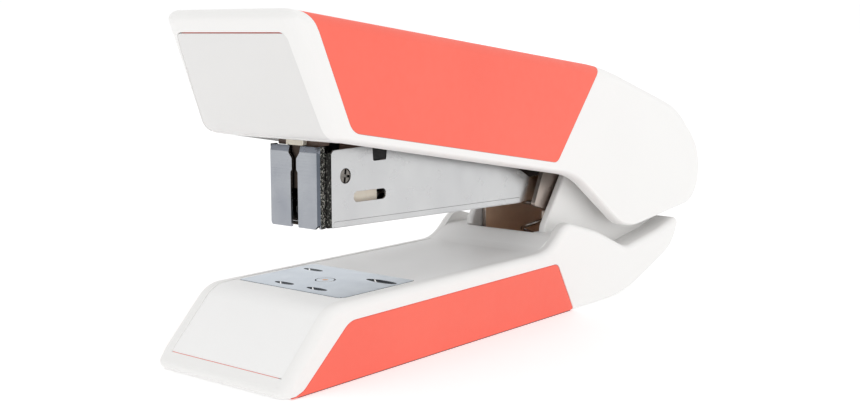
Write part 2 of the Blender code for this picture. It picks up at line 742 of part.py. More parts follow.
def handle_yoke():
    """The steel yoke screwed under the handle's top, hung on the handle pin."""
    yoke = slab("handle_yoke", yoke_outline(), -YOKE_OUT, YOKE_OUT, "dark_steel")
    inside = [(80.0, 20.0), (140.0, 20.0), (140.0, yoke_top(140.0) - 1.0), (80.0, yoke_top(80.0) - 1.0)]
    cut(yoke, slab("inside", inside, -YOKE_IN, YOKE_IN))
    cut(yoke, pin_y("handle_hole", HANDLE_X, HANDLE_Z, -20.0, 20.0, HANDLE_PIN_R + 0.15))
    cut(yoke, pin_y("roller_hole", ROLLER_X, ROLLER_Z, -20.0, 20.0, 1.2))
    for x in YOKE_SCREWS:
        cut(yoke, pin_z("screw_hole", x, 0.0, 50.0, 65.0, 1.6, sides=12))
    return yoke


def press_roller():
    """The cross pin with a thick middle that presses the drive arm down."""
    roller = pin_y("press_roller", ROLLER_X, ROLLER_Z, -8.5, 8.5, 1.0, sides=16)
    return join(roller, pin_y("barrel", ROLLER_X, ROLLER_Z, -6.9, 6.9, 2.0, sides=20))


def handle_pin():
    return pin_y("handle_pin", HANDLE_X, HANDLE_Z, -8.6, 8.6, HANDLE_PIN_R)


# ---------------------------------------------------------------- assembly

def gather(name, x, z, pieces):
    """Hang pieces from an empty that stands on their joint's axis."""
    axis = bpy.data.objects.new(name, None)
    axis.location = point(x, 0.0, z)
    bpy.context.scene.collection.objects.link(axis)
    bpy.context.view_layer.update()
    for piece in pieces:
        piece.parent = axis
        piece.matrix_parent_inverse = axis.matrix_world.inverted()
    return axis


def smooth(piece):
    if piece.type == "MESH":
        piece.data.shade_smooth()
        piece.data.set_sharp_from_angle(angle=radians(35.0))


def build():
    clear_scene()
    shell = base_shell()
    add_cheeks(shell)
    mirrored_pair(base_inlay)
    base_deck()
    base_sole()
    base_bracket()
    screw("bracket_screw_front", BASE_SCREWS[0], 0.0, 11.8, 4.0)
    screw("bracket_screw_rear", BASE_SCREWS[1], 0.0, 11.8, 7.4)
    hinge_pin()
    hinge_clip()
    mirrored_pair(hinge_washer)
    lift_top = sloped(LIFT_SPRING_X, NOSE_Z) - 1.0
    coil("lift_spring", (LIFT_SPRING_X, 0.0), 3.6, 0.9, 12.4, lift_top, 5)

    anvil = [anvil_plate(), anvil_stem()]
    gather("anvil_axis", ANVIL_X, ANVIL_TOP, anvil)

    feed = [pusher()]
    feed_spring = coil("pusher_spring", (0.0, ROD_Z), 1.75, 0.5, 36.6, 96.2, 16, "X")
    magazine = [magazine_body(), staple_rail(), pusher_rod(), feed_spring]
    return_spring = coil("return_spring", (RETURN_SPRING_X, 0.0), 3.4, 0.7, 40.5, 48.0, 3)
    frame = [driver_frame(), nose_spacer(), stop_bumper(), handle_pin(), return_spring]
    arm = [drive_arm()]
    blade = [driver_blade(), blade_holder()]
    handle = [handle_shell(), handle_grip(), nose_panel(), handle_yoke(), press_roller()]
    for label, x, sink in zip(("front", "rear"), YOKE_SCREWS, (1.6, 1.8)):
        handle.append(screw("yoke_screw_" + label, x, 0.0, yoke_top(x) - sink, yoke_top(x) + 2.2))

    magazine_axis = gather("magazine_axis", HINGE_X, HINGE_Z, magazine)
    frame_axis = gather("frame_axis", HINGE_X, HINGE_Z, frame)
    feed_axis = gather("feed_axis", NOSE_X, ROD_Z, feed)
    arm_axis = gather("arm_axis", HINGE_X, HINGE_Z, arm)
    blade_axis = gather("blade_axis", 23.4, NOSE_Z, blade)
    handle_axis = gather("handle_axis", HANDLE_X, HANDLE_Z, handle)
    for child, parent in ((frame_axis, magazine_axis), (feed_axis, magazine_axis), (arm_axis, frame_axis),
                          (blade_axis, frame_axis), (handle_axis, frame_axis)):
        child.parent = parent
        child.matrix_parent_inverse = parent.matrix_world.inverted()

    for piece in bpy.data.objects:
        smooth(piece)


build()
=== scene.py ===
"""Half-strip desk stapler: the finished look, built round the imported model.

Side-view sizes are in millimetres: x runs back from the toe of the base, z up from the table.
y runs across the stapler from its middle plane. The nose points to -X.
"""

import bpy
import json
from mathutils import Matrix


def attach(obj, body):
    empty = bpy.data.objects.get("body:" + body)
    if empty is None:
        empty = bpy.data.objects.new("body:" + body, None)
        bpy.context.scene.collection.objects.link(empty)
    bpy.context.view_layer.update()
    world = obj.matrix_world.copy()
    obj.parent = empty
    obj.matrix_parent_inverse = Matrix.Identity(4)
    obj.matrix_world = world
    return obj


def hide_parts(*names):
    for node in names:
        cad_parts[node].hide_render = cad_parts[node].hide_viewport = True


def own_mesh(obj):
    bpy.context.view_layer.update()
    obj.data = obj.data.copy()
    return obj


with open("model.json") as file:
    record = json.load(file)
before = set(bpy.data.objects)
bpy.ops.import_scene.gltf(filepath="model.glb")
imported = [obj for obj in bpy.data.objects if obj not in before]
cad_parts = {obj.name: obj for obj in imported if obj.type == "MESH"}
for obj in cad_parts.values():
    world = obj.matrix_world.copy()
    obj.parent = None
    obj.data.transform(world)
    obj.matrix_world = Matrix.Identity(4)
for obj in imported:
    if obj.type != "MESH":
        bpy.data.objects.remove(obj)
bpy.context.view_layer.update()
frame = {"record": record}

import json
from math import acos, ceil, cos, degrees, pi, radians, sin, tan

import bmesh
import bpy
from mathutils import Matrix, Vector

MM = 0.001
LENGTH = 170.7
THROUGH = 20.0
STEP = 4.0
PIN_PLAY = 0.15
SEAM = 0.06
SOFT_FROM = 40.0
SOFT_TO = 100.0
HALF = 38.5 / 2

# Hinges
HINGE_X = 141.0
HINGE_Z = 43.0
HINGE_R = 2.0

# Base
SOLE_GAP = 0.2
RIM_Z = 16.6
PANEL_HALF = 16.5
DECK_DROP = 0.15
FRONT_SHIFT = -0.9
BAY_HALF = 10.4
BAY_FLOOR = 10.0
SHELF_Z = 20.0
CHEEK_IN = 10.5
CHEEK_OUT = 12.6
BASE_ROUND = 2.2
BASE_REACH = 2.2
BASE_REAR = 0.65
BASE_SCREWS = (103.0, 135.0)
BASE_SCREW_R = 1.75
BASE_UNDER = 0.2
BAY_FRONT = 97.0
BAY_REAR = 141.0
COVER_FOOT = 4.2
COVER_THICK = 1.2
INLAY_THICK = 0.85
HOLLOW_HALF = 16.4
LIFT_SPRING_Z = 12.4
LIFT_SPRING_X = 113.0
STEM_HOLE_R = 2.6

# Anvil
ANVIL_X = 31.75
ANVIL_LONG = 22.4
ANVIL_WIDE = 30.6
ANVIL_BOTTOM = 15.85
ANVIL_TOP = 16.55
ANVIL_REAR_MORE = 0.8
POCKET_DEPTH = 0.6
RIB_HALF = 0.13
RIB_TURN = 0.83
# The forming pockets, each as x, y, width and length
POCKETS = ((23.8, 4.6, 2.5, 5.6), (23.8, -5.2, 2.5, 5.8), (38.3, 10.2, 2.5, 5.8), (38.2, -10.6, 3.3, 8.6))

# Magazine and driver frame
MAG_OUT = 7.05
MAG_IN = 6.55
MAG_SLOPE = -0.0277
NOSE_X = 22.0
NOSE_FACE = 22.35
NOSE_HALF = 7.25
NOSE_SHIFT = 0.35
SLOT_Y = -0.4
NOSE_SHEET = 0.6
NOSE_Z = 29.45
NOSE_LEAN_Z = 45.45
NOSE_TOP = 46.7
FRAME_OUT = 7.65
FRAME_IN = 7.2
FRAME_FRONT = 26.1
RAIL_HALF = 5.6
RAIL_TOP = 35.6
ROD_Z = 33.0
ROD_R = 0.9
FEED_SPRING = (36.85, 95.95)
PUSHER_FRONT = 24.3
PUSHER_BACK = 41.9
SPACER_X = 30.4
SPACER_Z = 40.1
SPACER_R = 1.45
SPACER_HALF = 7.5
STOP_FRONT = 38.95
STOP_BACK = 42.25
ARM_HALF = 5.4
TAB_FRONT = 20.9
TAB_BACK = 24.2
TAB_HALF = 0.45
TAB_Z = (50.6, 52.4)
BLADE_FRONT = 23.2
BLADE_BACK = 23.8
BLADE_HALF = 6.3
NECK_HALF = 2.2
CARRIER_Z = (46.6, 49.2)
RETURN_SPRING_Z = 40.85
RETURN_SPRING_RISE = 6.8
RETURN_SPRING_X = 78.0

# Handle
HANDLE_X = 121.0
HANDLE_Z = 43.0
HANDLE_PIN_R = 1.8
HEAD_ROUND = 3.2
HEAD_REACH = 4.2
HEAD_REAR = 0.6
HEAD_UNDER = 0.4
GRIP_THICK = 1.0
WALL_HALF = 16.35
PANEL_HIGH = 69.9
PANEL_BACK = 18.2
PANEL_SINK = 0.15
EAR_IN = 8.9
EAR_OUT = 10.1
YOKE_OUT = 8.6
YOKE_IN = 7.95
YOKE_SCREWS = (97.0, 127.0)
ROLLER_X = 100.0
ROLLER_Z = 52.9

BODY_OF = {node: body for body, nodes in frame["record"]["behaviour"]["bodies"].items() for node in nodes}


# Outlines

def rounded(corners, step=6.0):
    """A closed outline from (x, z, radius) corners, each radius drawn as an arc."""
    outline = []
    count = len(corners)
    for i, (x, z, r) in enumerate(corners):
        here = Vector((x, z))
        before = (Vector(corners[i - 1][:2]) - here).normalized()
        after = (Vector(corners[(i + 1) % count][:2]) - here).normalized()
        turn = pi - acos(max(-1.0, min(1.0, before.dot(after))))
        if r <= 0 or turn < 0.01:
            outline.append((x, z))
            continue
        reach = r * tan(turn / 2)
        middle = (before + after).normalized()
        centre = here + middle * (r / cos(turn / 2))
        start = here + before * reach - centre
        side = 1 if before.x * after.y - before.y * after.x < 0 else -1
        steps = max(1, ceil(degrees(turn) / step - 0.001))
        for k in range(steps + 1):
            angle = side * turn * k / steps
            outline.append((centre.x + start.x * cos(angle) - start.y * sin(angle),
                            centre.y + start.x * sin(angle) + start.y * cos(angle)))
    return outline


def oblong(x0, x1, y0, y1, radius):
    """A four-cornered outline with rounded corners."""
    return rounded([(x0, y0, radius), (x1, y0, radius), (x1, y1, radius), (x0, y1, radius)])


def mirrored(half):
    """Front-view corners for one side and, in reverse, for the other."""
    return half + [(-y, z, r) for y, z, r in half[::-1]]


def folded(out, inside, low, sheet, bend):
    """The front view of a folded channel: a floor and two tall walls."""
    tall = 60.0
    half = [(inside, low + sheet, 0.4), (inside, tall, 0.0), (out, tall, 0.0), (out, low, bend)]
    return rounded(mirrored(half), 10.0)


def area(outline):
    return sum(a[0] * b[1] - b[0] * a[1] for a, b in zip(outline, outline[1:] + outline[:1])) / 2


def inset(outline, depth):
    """The outline moved inwards by a depth."""
    inward = 1 if area(outline) > 0 else -1
    moved = []
    for i in range(len(outline)):
        a = Vector(outline[i - 1])
        b = Vector(outline[i])
        c = Vector(outline[(i + 1) % len(outline)])
        n1 = Vector((-(b - a).y, (b - a).x)).normalized()
        n2 = Vector((-(c - b).y, (c - b).x)).normalized()
        miter = (n1 + n2).normalized()
        stretch = max(0.5, miter.dot(n2))
        place = b + miter * inward * depth / stretch
        moved.append((place.x, place.y))
    return moved


def softness(x, rear_share):
    """The share of the full edge rounding at x: whole at the nose, less behind the middle."""
    along = min(1.0, max(0.0, (x - SOFT_FROM) / (SOFT_TO - SOFT_FROM)))
    return 1.0 + (rear_share - 1.0) * along


def sunk_corners(corners, depth, rear_share=1.0, under_share=1.0):
    """A cornered outline moved inwards with true corner radii, less at the rear and on its underside."""
    turn = 1 if area([(x, z) for x, z, r in corners]) > 0 else -1
    count = len(corners)
    moved = []
    for i, (x, z, r) in enumerate(corners):
        here = Vector((x, z))
        before = here - Vector(corners[i - 1][:2])
        after = Vector(corners[(i + 1) % count][:2]) - here
        n1 = Vector((-before.y, before.x)).normalized() * turn
        n2 = Vector((-after.y, after.x)).normalized() * turn
        d1 = depth * softness(x - before.x / 2, rear_share)
        d2 = depth * softness(x + after.x / 2, rear_share)
        d1 *= under_share if n1.y > 0.7 else 1.0
        d2 *= under_share if n2.y > 0.7 else 1.0
        cross = n1.x * n2.y - n1.y * n2.x
        if abs(cross) < 0.001:
            place = here + n1 * d1
        else:
            place = here + Vector((d1 * n2.y - d2 * n1.y, n1.x * d2 - n2.x * d1)) / cross
        if r > 0:
            shrink = min(d1, d2)
            r = max(r - shrink, 0.25) if cross * turn > 0 else r + shrink
        moved.append((place.x, place.y, r))
    return moved


def strip(path, thickness):
    """A closed outline of even thickness along an open path, growing to its right-hand side."""
    other = []
    for i, here in enumerate(path):
        before = Vector(path[max(i - 1, 0)])
        after = Vector(path[min(i + 1, len(path) - 1)])
        along = (after - before).normalized()
        other.append((here[0] + along.y * thickness, here[1] - along.x * thickness))
    return list(path) + other[::-1]


def shifted(path, depth):
    """An open path moved to its right-hand side."""
    return strip(path, depth)[len(path):][::-1]


def reach_at(outline, height):
    """The foremost x of an outline at a height."""
    found = []
    for (x0, z0), (x1, z1) in zip(outline, outline[1:] + outline[:1]):
        if min(z0, z1) <= height < max(z0, z1):
            found.append(x0 + (x1 - x0) * (height - z0) / (z1 - z0))
    return min(found)


# Solids

def point(x, y, z):
    """A place in the model, in metres, from side-view millimetres."""
    return Vector(((x - LENGTH / 2) * MM, y * MM, z * MM))


def solid(name, shape):
    mesh = bpy.data.meshes.new(name)
    bmesh.ops.recalc_face_normals(shape, faces=shape.faces)
    shape.to_mesh(mesh)
    shape.free()
    piece = bpy.data.objects.new(name, mesh)
    bpy.context.scene.collection.objects.link(piece)
    return piece


def tube_of_rings(name, rings):
    """A closed solid through rings of equal point counts, with both ends capped."""
    shape = bmesh.new()
    rows = [[shape.verts.new(p) for p in ring] for ring in rings]
    count = len(rings[0])
    for low, high in zip(rows, rows[1:]):
        for i in range(count):
            j = (i + 1) % count
            shape.faces.new((low[i], low[j], high[j], high[i]))
    shape.faces.new(rows[0][::-1])
    shape.faces.new(rows[-1])
    return solid(name, shape)


def slab(name, outline, y0, y1):
    """A side-view outline carried across from y0 to y1."""
    return tube_of_rings(name, [[point(x, y, z) for x, z in outline] for y in (y0, y1)])


def wide_slab(name, outline):
    """A side-view outline carried right across, mostly as a cutter."""
    return slab(name, outline, -THROUGH, THROUGH)


def plate(name, outline, z0, z1):
    """A plan-view outline carried up from z0 to z1."""
    return tube_of_rings(name, [[point(x, y, z) for x, y in outline] for z in (z0, z1)])


def soft_slab(name, outline, y0, y1, edge, steps=3):
    """A side-view outline carried across from y0 to y1, with both of its rims rounded."""
    rings = []
    for k in range(steps + 1):
        angle = pi / 2 * k / steps
        ring = inset(outline, edge * (1 - sin(angle)))
        rings.append((y0 + edge * (1 - cos(angle)), ring))
    rings += [(y0 + y1 - y, ring) for y, ring in rings[::-1]]
    return tube_of_rings(name, [[point(x, y, z) for x, z in ring] for y, ring in rings])


def soft_plate(name, outline, z0, z1, edge, steps=3):
    """A plan-view outline carried up from z0 to z1, with its top rim rounded."""
    rings = [(z0, outline)]
    for k in range(steps + 1):
        angle = pi / 2 * k / steps
        rings.append((z1 - edge * (1 - sin(angle)), inset(outline, edge * (1 - cos(angle)))))
    return tube_of_rings(name, [[point(x, y, z) for x, y in ring] for z, ring in rings])


def pillow(name, corners, depth, reach, half, rear_share, under_share, steps=10):
    """A cornered side-view outline carried across, its rims rounded over a depth and a reach."""
    near = []
    for k in range(steps + 1):
        angle = pi / 2 * k / steps
        sunk = sunk_corners(corners, depth * (1 - cos(angle)), rear_share, under_share)
        back = reach * (1 - sin(angle))
        near.append([(x, half - back * softness(x, rear_share), z) for x, z in rounded(sunk, STEP)])
    rings = [[point(x, y, z) for x, y, z in ring] for ring in near[::-1]]
    rings += [[point(x, -y, z) for x, y, z in ring] for ring in near]
    return tube_of_rings(name, rings)


def prism_x(name, outline, x0, x1, slope=0.0):
    """A front-view outline of (y, z) points carried back from x0 to x1, rising by a slope."""
    rings = [[point(x, y, z + slope * (x - NOSE_X)) for y, z in outline] for x in (x0, x1)]
    return tube_of_rings(name, rings)


def block(name, x0, x1, y0, y1, z0, z1):
    return slab(name, [(x0, z0), (x1, z0), (x1, z1), (x0, z1)], y0, y1)


def turned(name, start, end, profile, sides=48):
    """A solid of revolution between two side-view points, from (share of the way, radius) pairs."""
    a = point(*start)
    b = point(*end)
    axis = (b - a).normalized()
    across = axis.orthogonal().normalized()
    up = axis.cross(across)
    rings = []
    for share, radius in profile:
        centre = a + (b - a) * share
        angles = [2 * pi * (i + 0.5) / sides for i in range(sides)]
        rings.append([centre + (across * cos(t) + up * sin(t)) * radius * MM for t in angles])
    return tube_of_rings(name, rings)


def rod(name, start, end, radius, sides=48):
    return turned(name, start, end, [(0.0, radius), (1.0, radius)], sides)


def pin_y(name, x, z, y0, y1, radius, sides=48):
    return rod(name, (x, y0, z), (x, y1, z), radius, sides)


def bore_y(name, x, z, radius):
    return pin_y(name, x, z, -THROUGH, THROUGH, radius)


def pin_z(name, x, y, z0, z1, radius, sides=48):
    return rod(name, (x, y, z0), (x, y, z1), radius, sides)


def apply_modifiers(piece):
    bpy.context.view_layer.update()
    graph = bpy.context.evaluated_depsgraph_get()
    result = bpy.data.meshes.new_from_object(piece.evaluated_get(graph))
    piece.modifiers.clear()
    piece.data = result
    return piece


def apply_boolean(piece, tool, operation):
    step = piece.modifiers.new("step", "BOOLEAN")
    step.operation = operation
    step.solver = "EXACT"
    step.object = tool
    apply_modifiers(piece)
    bpy.data.objects.remove(tool, do_unlink=True)
    return piece


def cut(piece, tool):
    return apply_boolean(piece, tool, "DIFFERENCE")


def join(piece, tool):
    return apply_boolean(piece, tool, "UNION")


def keep(piece, tool):
    return apply_boolean(piece, tool, "INTERSECT")


def pin_hole(piece, play=PIN_PLAY):
    """Cuts the hinge pin's hole through a piece."""
    cut(piece, bore_y("pin_hole", HINGE_X, HINGE_Z, HINGE_R + play))


def handle_hole(piece):
    """Cuts the handle pin's hole through a piece."""
    cut(piece, bore_y("handle_hole", HANDLE_X, HANDLE_Z, HANDLE_PIN_R + PIN_PLAY))


def coil(name, radius, wire, turns, place):
    """A helical spring of round wire; place(share, across, up) gives a point on it, in metres."""
    per_turn = 28
    count = int(turns * per_turn)

    def helix(i, r):
        turn = 2 * pi * i / per_turn
        ends = min(1.0, max(0.0, (i / per_turn - 0.8) / (turns - 1.6)))
        share = ends + (i / count - ends) * 0.12
        return place(share, r * cos(turn), r * sin(turn))

    rings = []
    for i in range(count + 1):
        centre = helix(i, radius)
        along = (helix(i + 0.5, radius) - helix(i - 0.5, radius)).normalized()
        out = (helix(i, radius + 1.0) - centre).normalized()
        side = along.cross(out)
        angles = [2 * pi * k / 12 for k in range(12)]
        rings.append([centre + (out * cos(t) + side * sin(t)) * wire / 2 * MM for t in angles])
    return tube_of_rings(name, rings)


def paint(piece, material, test):
    """Gives a second material to the faces whose centre (x, y, z in millimetres) passes a test."""
    piece.data.materials.append(material)
    index = len(piece.data.materials) - 1
    for face in piece.data.polygons:
        x, y, z = face.center
        if test(x / MM + LENGTH / 2, y / MM, z / MM, face.normal):
            face.material_index = index
    return piece


def turn_about(piece, centre, axis, angle):
    """Turns a piece's mesh about an axis through a point."""
    turned_by = Matrix.Rotation(angle, 4, axis)
    piece.data.transform(Matrix.Translation(centre) @ turned_by @ Matrix.Translation(-centre))
    return piece


def smooth(piece, angle=28.0):
    """Smooth shading that keeps flat faces flat."""
    piece.data.shade_smooth()
    piece.data.set_sharp_from_angle(angle=radians(angle))
    weigh = piece.modifiers.new("weigh", "WEIGHTED_NORMAL")
    weigh.keep_sharp = True
    weigh.weight = 90
    return piece


def soften(piece, width, segments=2, angle=35.0):
    """Rounds a piece's sharp edges by a small width."""
    shape = bmesh.new()
    shape.from_mesh(piece.data)
    bmesh.ops.remove_doubles(shape, verts=shape.verts, dist=0.00001)
    bmesh.ops.dissolve_limit(shape, angle_limit=radians(2.0), verts=shape.verts, edges=shape.edges)
    shape.to_mesh(piece.data)
    shape.free()
    bevel = piece.modifiers.new("edges", "BEVEL")
    bevel.width = width * MM
    bevel.segments = segments
    bevel.limit_method = "ANGLE"
    bevel.angle_limit = radians(angle)
    return apply_modifiers(piece)


def stand_in(piece, node, material):
    """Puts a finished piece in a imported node's place."""
    piece.data.materials.clear()
    piece.data.materials.append(material)
    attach(piece, BODY_OF[node])
    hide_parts(node)
    return piece


def finish(piece, node, material, edge=0.0):
    """Rounds a piece's sharp edges by a small width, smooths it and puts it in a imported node's place."""
    if edge:
        soften(piece, edge)
    return stand_in(smooth(piece), node, material)


# Materials

def fill(node, values):
    """Sets a node's inputs, each named with underscores for its spaces."""
    for key, value in values.items():
        node.inputs[key.replace("_", " ")].default_value = value
    return node


class Surface:
    """A Principled material and the few node steps that the finishes share."""

    def __init__(self, name, colour, roughness, metallic=0.0):
        self.material = bpy.data.materials.new(name)
        self.material.use_nodes = True
        self.tree = self.material.node_tree
        self.shader = self.tree.nodes["Principled BSDF"]
        self.colour = (*colour, 1.0)
        self.set(Base_Color=self.colour, Roughness=roughness, Metallic=metallic)
        self.place = self.add("ShaderNodeTexCoord").outputs["Object"]
        self.normal = None

    def add(self, kind, **values):
        return fill(self.tree.nodes.new(kind), values)

    def set(self, **values):
        fill(self.shader, values)

    def link(self, start, end):
        self.tree.links.new(start, end)

    def stretched(self, scale):
        """Texture places stretched along the axes, for grain with a direction."""
        mapping = self.add("ShaderNodeMapping", Scale=scale)
        self.link(self.place, mapping.inputs["Vector"])
        return mapping.outputs["Vector"]

    def noise(self, scale, detail=3.0, place=None, roughness=0.5):
        texture = self.add("ShaderNodeTexNoise", Scale=scale, Detail=detail, Roughness=roughness)
        self.link(place or self.place, texture.inputs["Vector"])
        return texture.outputs["Fac"]

    def spread(self, value, low, high, start=0.3, end=0.7):
        """A value between start and end, stretched to run from low to high."""
        scale = self.add("ShaderNodeMapRange", From_Min=start, From_Max=end, To_Min=low, To_Max=high)
        self.link(value, scale.inputs["Value"])
        return scale.outputs["Result"]

    def tint(self, value, other, start=0.3, end=0.7):
        """Varies the base colour towards another one as a value runs from start to end."""
        mix = self.tree.nodes.new("ShaderNodeMix")
        mix.data_type = "RGBA"
        sockets = {socket.identifier: socket for socket in mix.inputs}
        sockets["A_Color"].default_value = self.colour
        sockets["B_Color"].default_value = (*other, 1.0)
        self.link(self.spread(value, 0.0, 1.0, start, end), sockets["Factor_Float"])
        result = {socket.identifier: socket for socket in mix.outputs}["Result_Color"]
        self.link(result, self.shader.inputs["Base Color"])

    def rough(self, value, low, high):
        self.link(self.spread(value, low, high), self.shader.inputs["Roughness"])

    def bump(self, value, height, strength=1.0):
        """Relief of a height in millimetres, laid over any relief already there."""
        relief = self.add("ShaderNodeBump", Strength=strength, Distance=height * MM)
        self.link(value, relief.inputs["Height"])
        if self.normal:
            self.link(self.normal, relief.inputs["Normal"])
        self.normal = relief.outputs["Normal"]
        self.link(self.normal, self.shader.inputs["Normal"])


def moulded_plastic(name, colour, roughness, tone, relief=0.012):
    """Satin moulded plastic: spark-eroded fine texture, slow tone changes and a faint gloss change."""
    surface = Surface(name, colour, roughness)
    slow = surface.noise(22.0, 2.0)
    surface.tint(slow, tone)
    surface.rough(surface.noise(160.0, 4.0), roughness - 0.05, roughness + 0.06)
    surface.bump(surface.noise(3200.0, 2.0), relief)
    surface.bump(slow, 0.25, 0.25)
    surface.set(Specular_IOR_Level=0.45)
    return surface.material


def soft_touch(name, colour, tone):
    """Soft-touch rubber: matte, with a fine even grain and a little sheen."""
    surface = Surface(name, colour, 0.72)
    surface.tint(surface.noise(30.0, 3.0), tone)
    surface.rough(surface.noise(420.0, 3.0), 0.66, 0.8)
    surface.bump(surface.noise(2600.0, 3.0, roughness=0.7), 0.03)
    surface.bump(surface.noise(60.0, 2.0), 0.15, 0.2)
    surface.set(Specular_IOR_Level=0.3, Sheen_Weight=0.12, Sheen_Roughness=0.5)
    return surface.material


def plated_sheet(name, colour, tone, roughness, grain, marks=0.0):
    """Plated sheet steel with rolling marks along one direction and faint cloudy patches."""
    surface = Surface(name, colour, roughness, 1.0)
    rolled = surface.noise(1.0, 4.0, surface.stretched(grain), 0.65)
    clouds = surface.noise(90.0, 4.0)
    surface.tint(clouds, tone)
    surface.rough(surface.noise(240.0, 5.0, roughness=0.6), roughness - 0.03, roughness + 0.05)
    surface.bump(rolled, 0.003 + marks)
    surface.bump(clouds, 0.025, 0.3)
    return surface.material


def sheared_edge(name, bright_from):
    """The torn edge of punched sheet: coarse bright and dark specks."""
    surface = Surface(name, (0.02, 0.02, 0.018), 0.45, 1.0)
    torn = surface.noise(1.0, 4.0, surface.stretched((3000.0, 3000.0, 2400.0)), 0.75)
    surface.tint(torn, (0.55, 0.55, 0.5), bright_from, bright_from + 0.07)
    surface.bump(torn, 0.25)
    return surface.material


def nylon(name, colour, tone):
    surface = Surface(name, colour, 0.5)
    surface.tint(surface.noise(300.0, 4.0), tone)
    surface.bump(surface.noise(1800.0, 3.0), 0.02)
    surface.set(Subsurface_Weight=0.1, Subsurface_Radius=(0.001, 0.0008, 0.0005))
    return surface.material


def rubber(name, colour, tone):
    surface = Surface(name, colour, 0.6)
    surface.set(Specular_IOR_Level=0.2)
    surface.tint(surface.noise(500.0, 4.0), tone)
    surface.bump(surface.noise(1500.0, 4.0), 0.06)
    return surface.material


def drawn_wire(name):
    surface = Surface(name, (0.5, 0.49, 0.47), 0.25, 1.0)
    surface.tint(surface.noise(700.0, 4.0), (0.3, 0.28, 0.26))
    surface.bump(surface.noise(2600.0, 3.0), 0.01)
    return surface.material


ALONG_X = (60.0, 3200.0, 3200.0)
ALONG_Y = (2600.0, 40.0, 2600.0)
ALONG_Z = (3200.0, 3200.0, 70.0)
WHITE = moulded_plastic("white_shell", (0.885, 0.879, 0.866), 0.4, (0.87, 0.862, 0.849))
# A brighter copy of the white shell plastic: painted light on the base's front face, deck and ramp, which lie
# in the handle's shade.
COVER_LIT_WHITE = moulded_plastic("white_panel", (0.93, 0.927, 0.92), 0.44, (0.915, 0.911, 0.903), 0.016)
# A darker copy of the white shell plastic: painted shade on the handle's front panel, which faces forward and
# down.
PANEL_SHADE_WHITE = moulded_plastic("nose_panel", (0.785, 0.779, 0.769), 0.44, (0.765, 0.758, 0.748), 0.016)
CORAL = soft_touch("coral_grip", (0.95, 0.165, 0.115), (0.93, 0.152, 0.106))
CREAM = nylon("cream_nylon", (0.86, 0.8, 0.69), (0.8, 0.73, 0.61))
# Dark brown: painted shade for the blade carrier, which sits in the handle's shadow.
CARRIER_SHADE = nylon("carrier_painted_shade", (0.15, 0.09, 0.065), (0.1, 0.06, 0.045))
RUBBER = rubber("black_rubber", (0.012, 0.012, 0.013), (0.022, 0.022, 0.022))
SOLE = rubber("sole_rubber", (0.045, 0.045, 0.047), (0.065, 0.064, 0.062))
CHROME = plated_sheet("chromed_steel", (0.58, 0.584, 0.586), (0.53, 0.533, 0.54), 0.24, ALONG_X)
NOSE = plated_sheet("nose_steel", (0.41, 0.425, 0.45), (0.3, 0.315, 0.35), 0.22, ALONG_Y, 0.02)
# A darker bluish copy of the nose steel: painted reflection on the nose's leaned top band.
NOSE_TOP_REFLECTION = plated_sheet("nose_top_painted_reflection", (0.27, 0.29, 0.33), (0.2, 0.21, 0.25), 0.28, ALONG_Y, 0.01)
ZINC = plated_sheet("zinc_steel", (0.56, 0.61, 0.665), (0.5, 0.55, 0.61), 0.32, ALONG_Y)
# Dark steel: painted shade and dark reflection inside the anvil's pockets.
POCKET_SHADE = plated_sheet("pocket_painted_shade", (0.13, 0.14, 0.15), (0.07, 0.075, 0.085), 0.25, ALONG_Y)
DARK = plated_sheet("dark_steel", (0.5, 0.44, 0.4), (0.36, 0.29, 0.25), 0.3, ALONG_Z)
SHADED = plated_sheet("shaded_steel", (0.06, 0.045, 0.036), (0.03, 0.024, 0.02), 0.35, ALONG_Z)
# Reddish brown: painted shade, warmed as if by light off the coral, for inner faces.
INNER_SHADE = nylon("inner_painted_shade", (0.62, 0.41, 0.33), (0.5, 0.31, 0.24))
# Tan: painted warm shade and bounce light, for the bracket's inner faces and the rivet's dimple.
WARM_SHADE = nylon("warm_painted_shade", (0.95, 0.66, 0.47), (0.88, 0.6, 0.42))
# Dark bluish steel: painted dark reflection on the nose's near bend.
BEND_REFLECTION = plated_sheet("bend_painted_reflection", (0.15, 0.17, 0.2), (0.08, 0.09, 0.11), 0.3, ALONG_Z)
RIVET = plated_sheet("rivet_steel", (0.3, 0.285, 0.27), (0.16, 0.145, 0.13), 0.3, ALONG_X)
GLINT = plated_sheet("painted_glint_steel", (0.95, 0.95, 0.94), (0.9, 0.9, 0.9), 0.3, ALONG_X)
EDGE = sheared_edge("sheared_edge", 0.525)
EDGE_DARK = sheared_edge("sheared_edge_dark", 0.575)
WIRE = drawn_wire("spring_steel")


# Shared outlines

BASE_CORNERS = [
    (-1.3, SOLE_GAP, 1.5), (2.1, 4.8, 5.0), (13.6, RIM_Z, 8.0),
    (91.3, RIM_Z, 12.0), (99.0, 23.1, 5.6), (114.0, 19.0, 34.0), (129.0, 12.7, 9.0),
    (146.0, 15.2, 30.0), (158.9, 18.3, 1.5), (155.2, 10.3, 11.0), (127.5, SOLE_GAP, 55.0),
    (104.0, SOLE_GAP, 0.0),
]
HEAD_CORNERS = [
    (3.4, 75.0, 1.8), (116.0, 61.4, 80.0), (156.0, 49.5, 30.0),
    (171.6, 36.4, 14.0), (169.2, 21.5, 9.0), (146.0, 19.2, 60.0),
    (128.0, 17.4, 20.0), (103.0, 34.3, 26.0), (13.3, 49.3, 4.6),
]


def head_pillow(name, depth):
    """The handle's outer form, or the same form sunk by a depth all over."""
    corners = sunk_corners(HEAD_CORNERS, depth) if depth else HEAD_CORNERS
    return pillow(name, corners, HEAD_ROUND - depth, HEAD_REACH - depth, HALF - depth, HEAD_REAR, HEAD_UNDER)


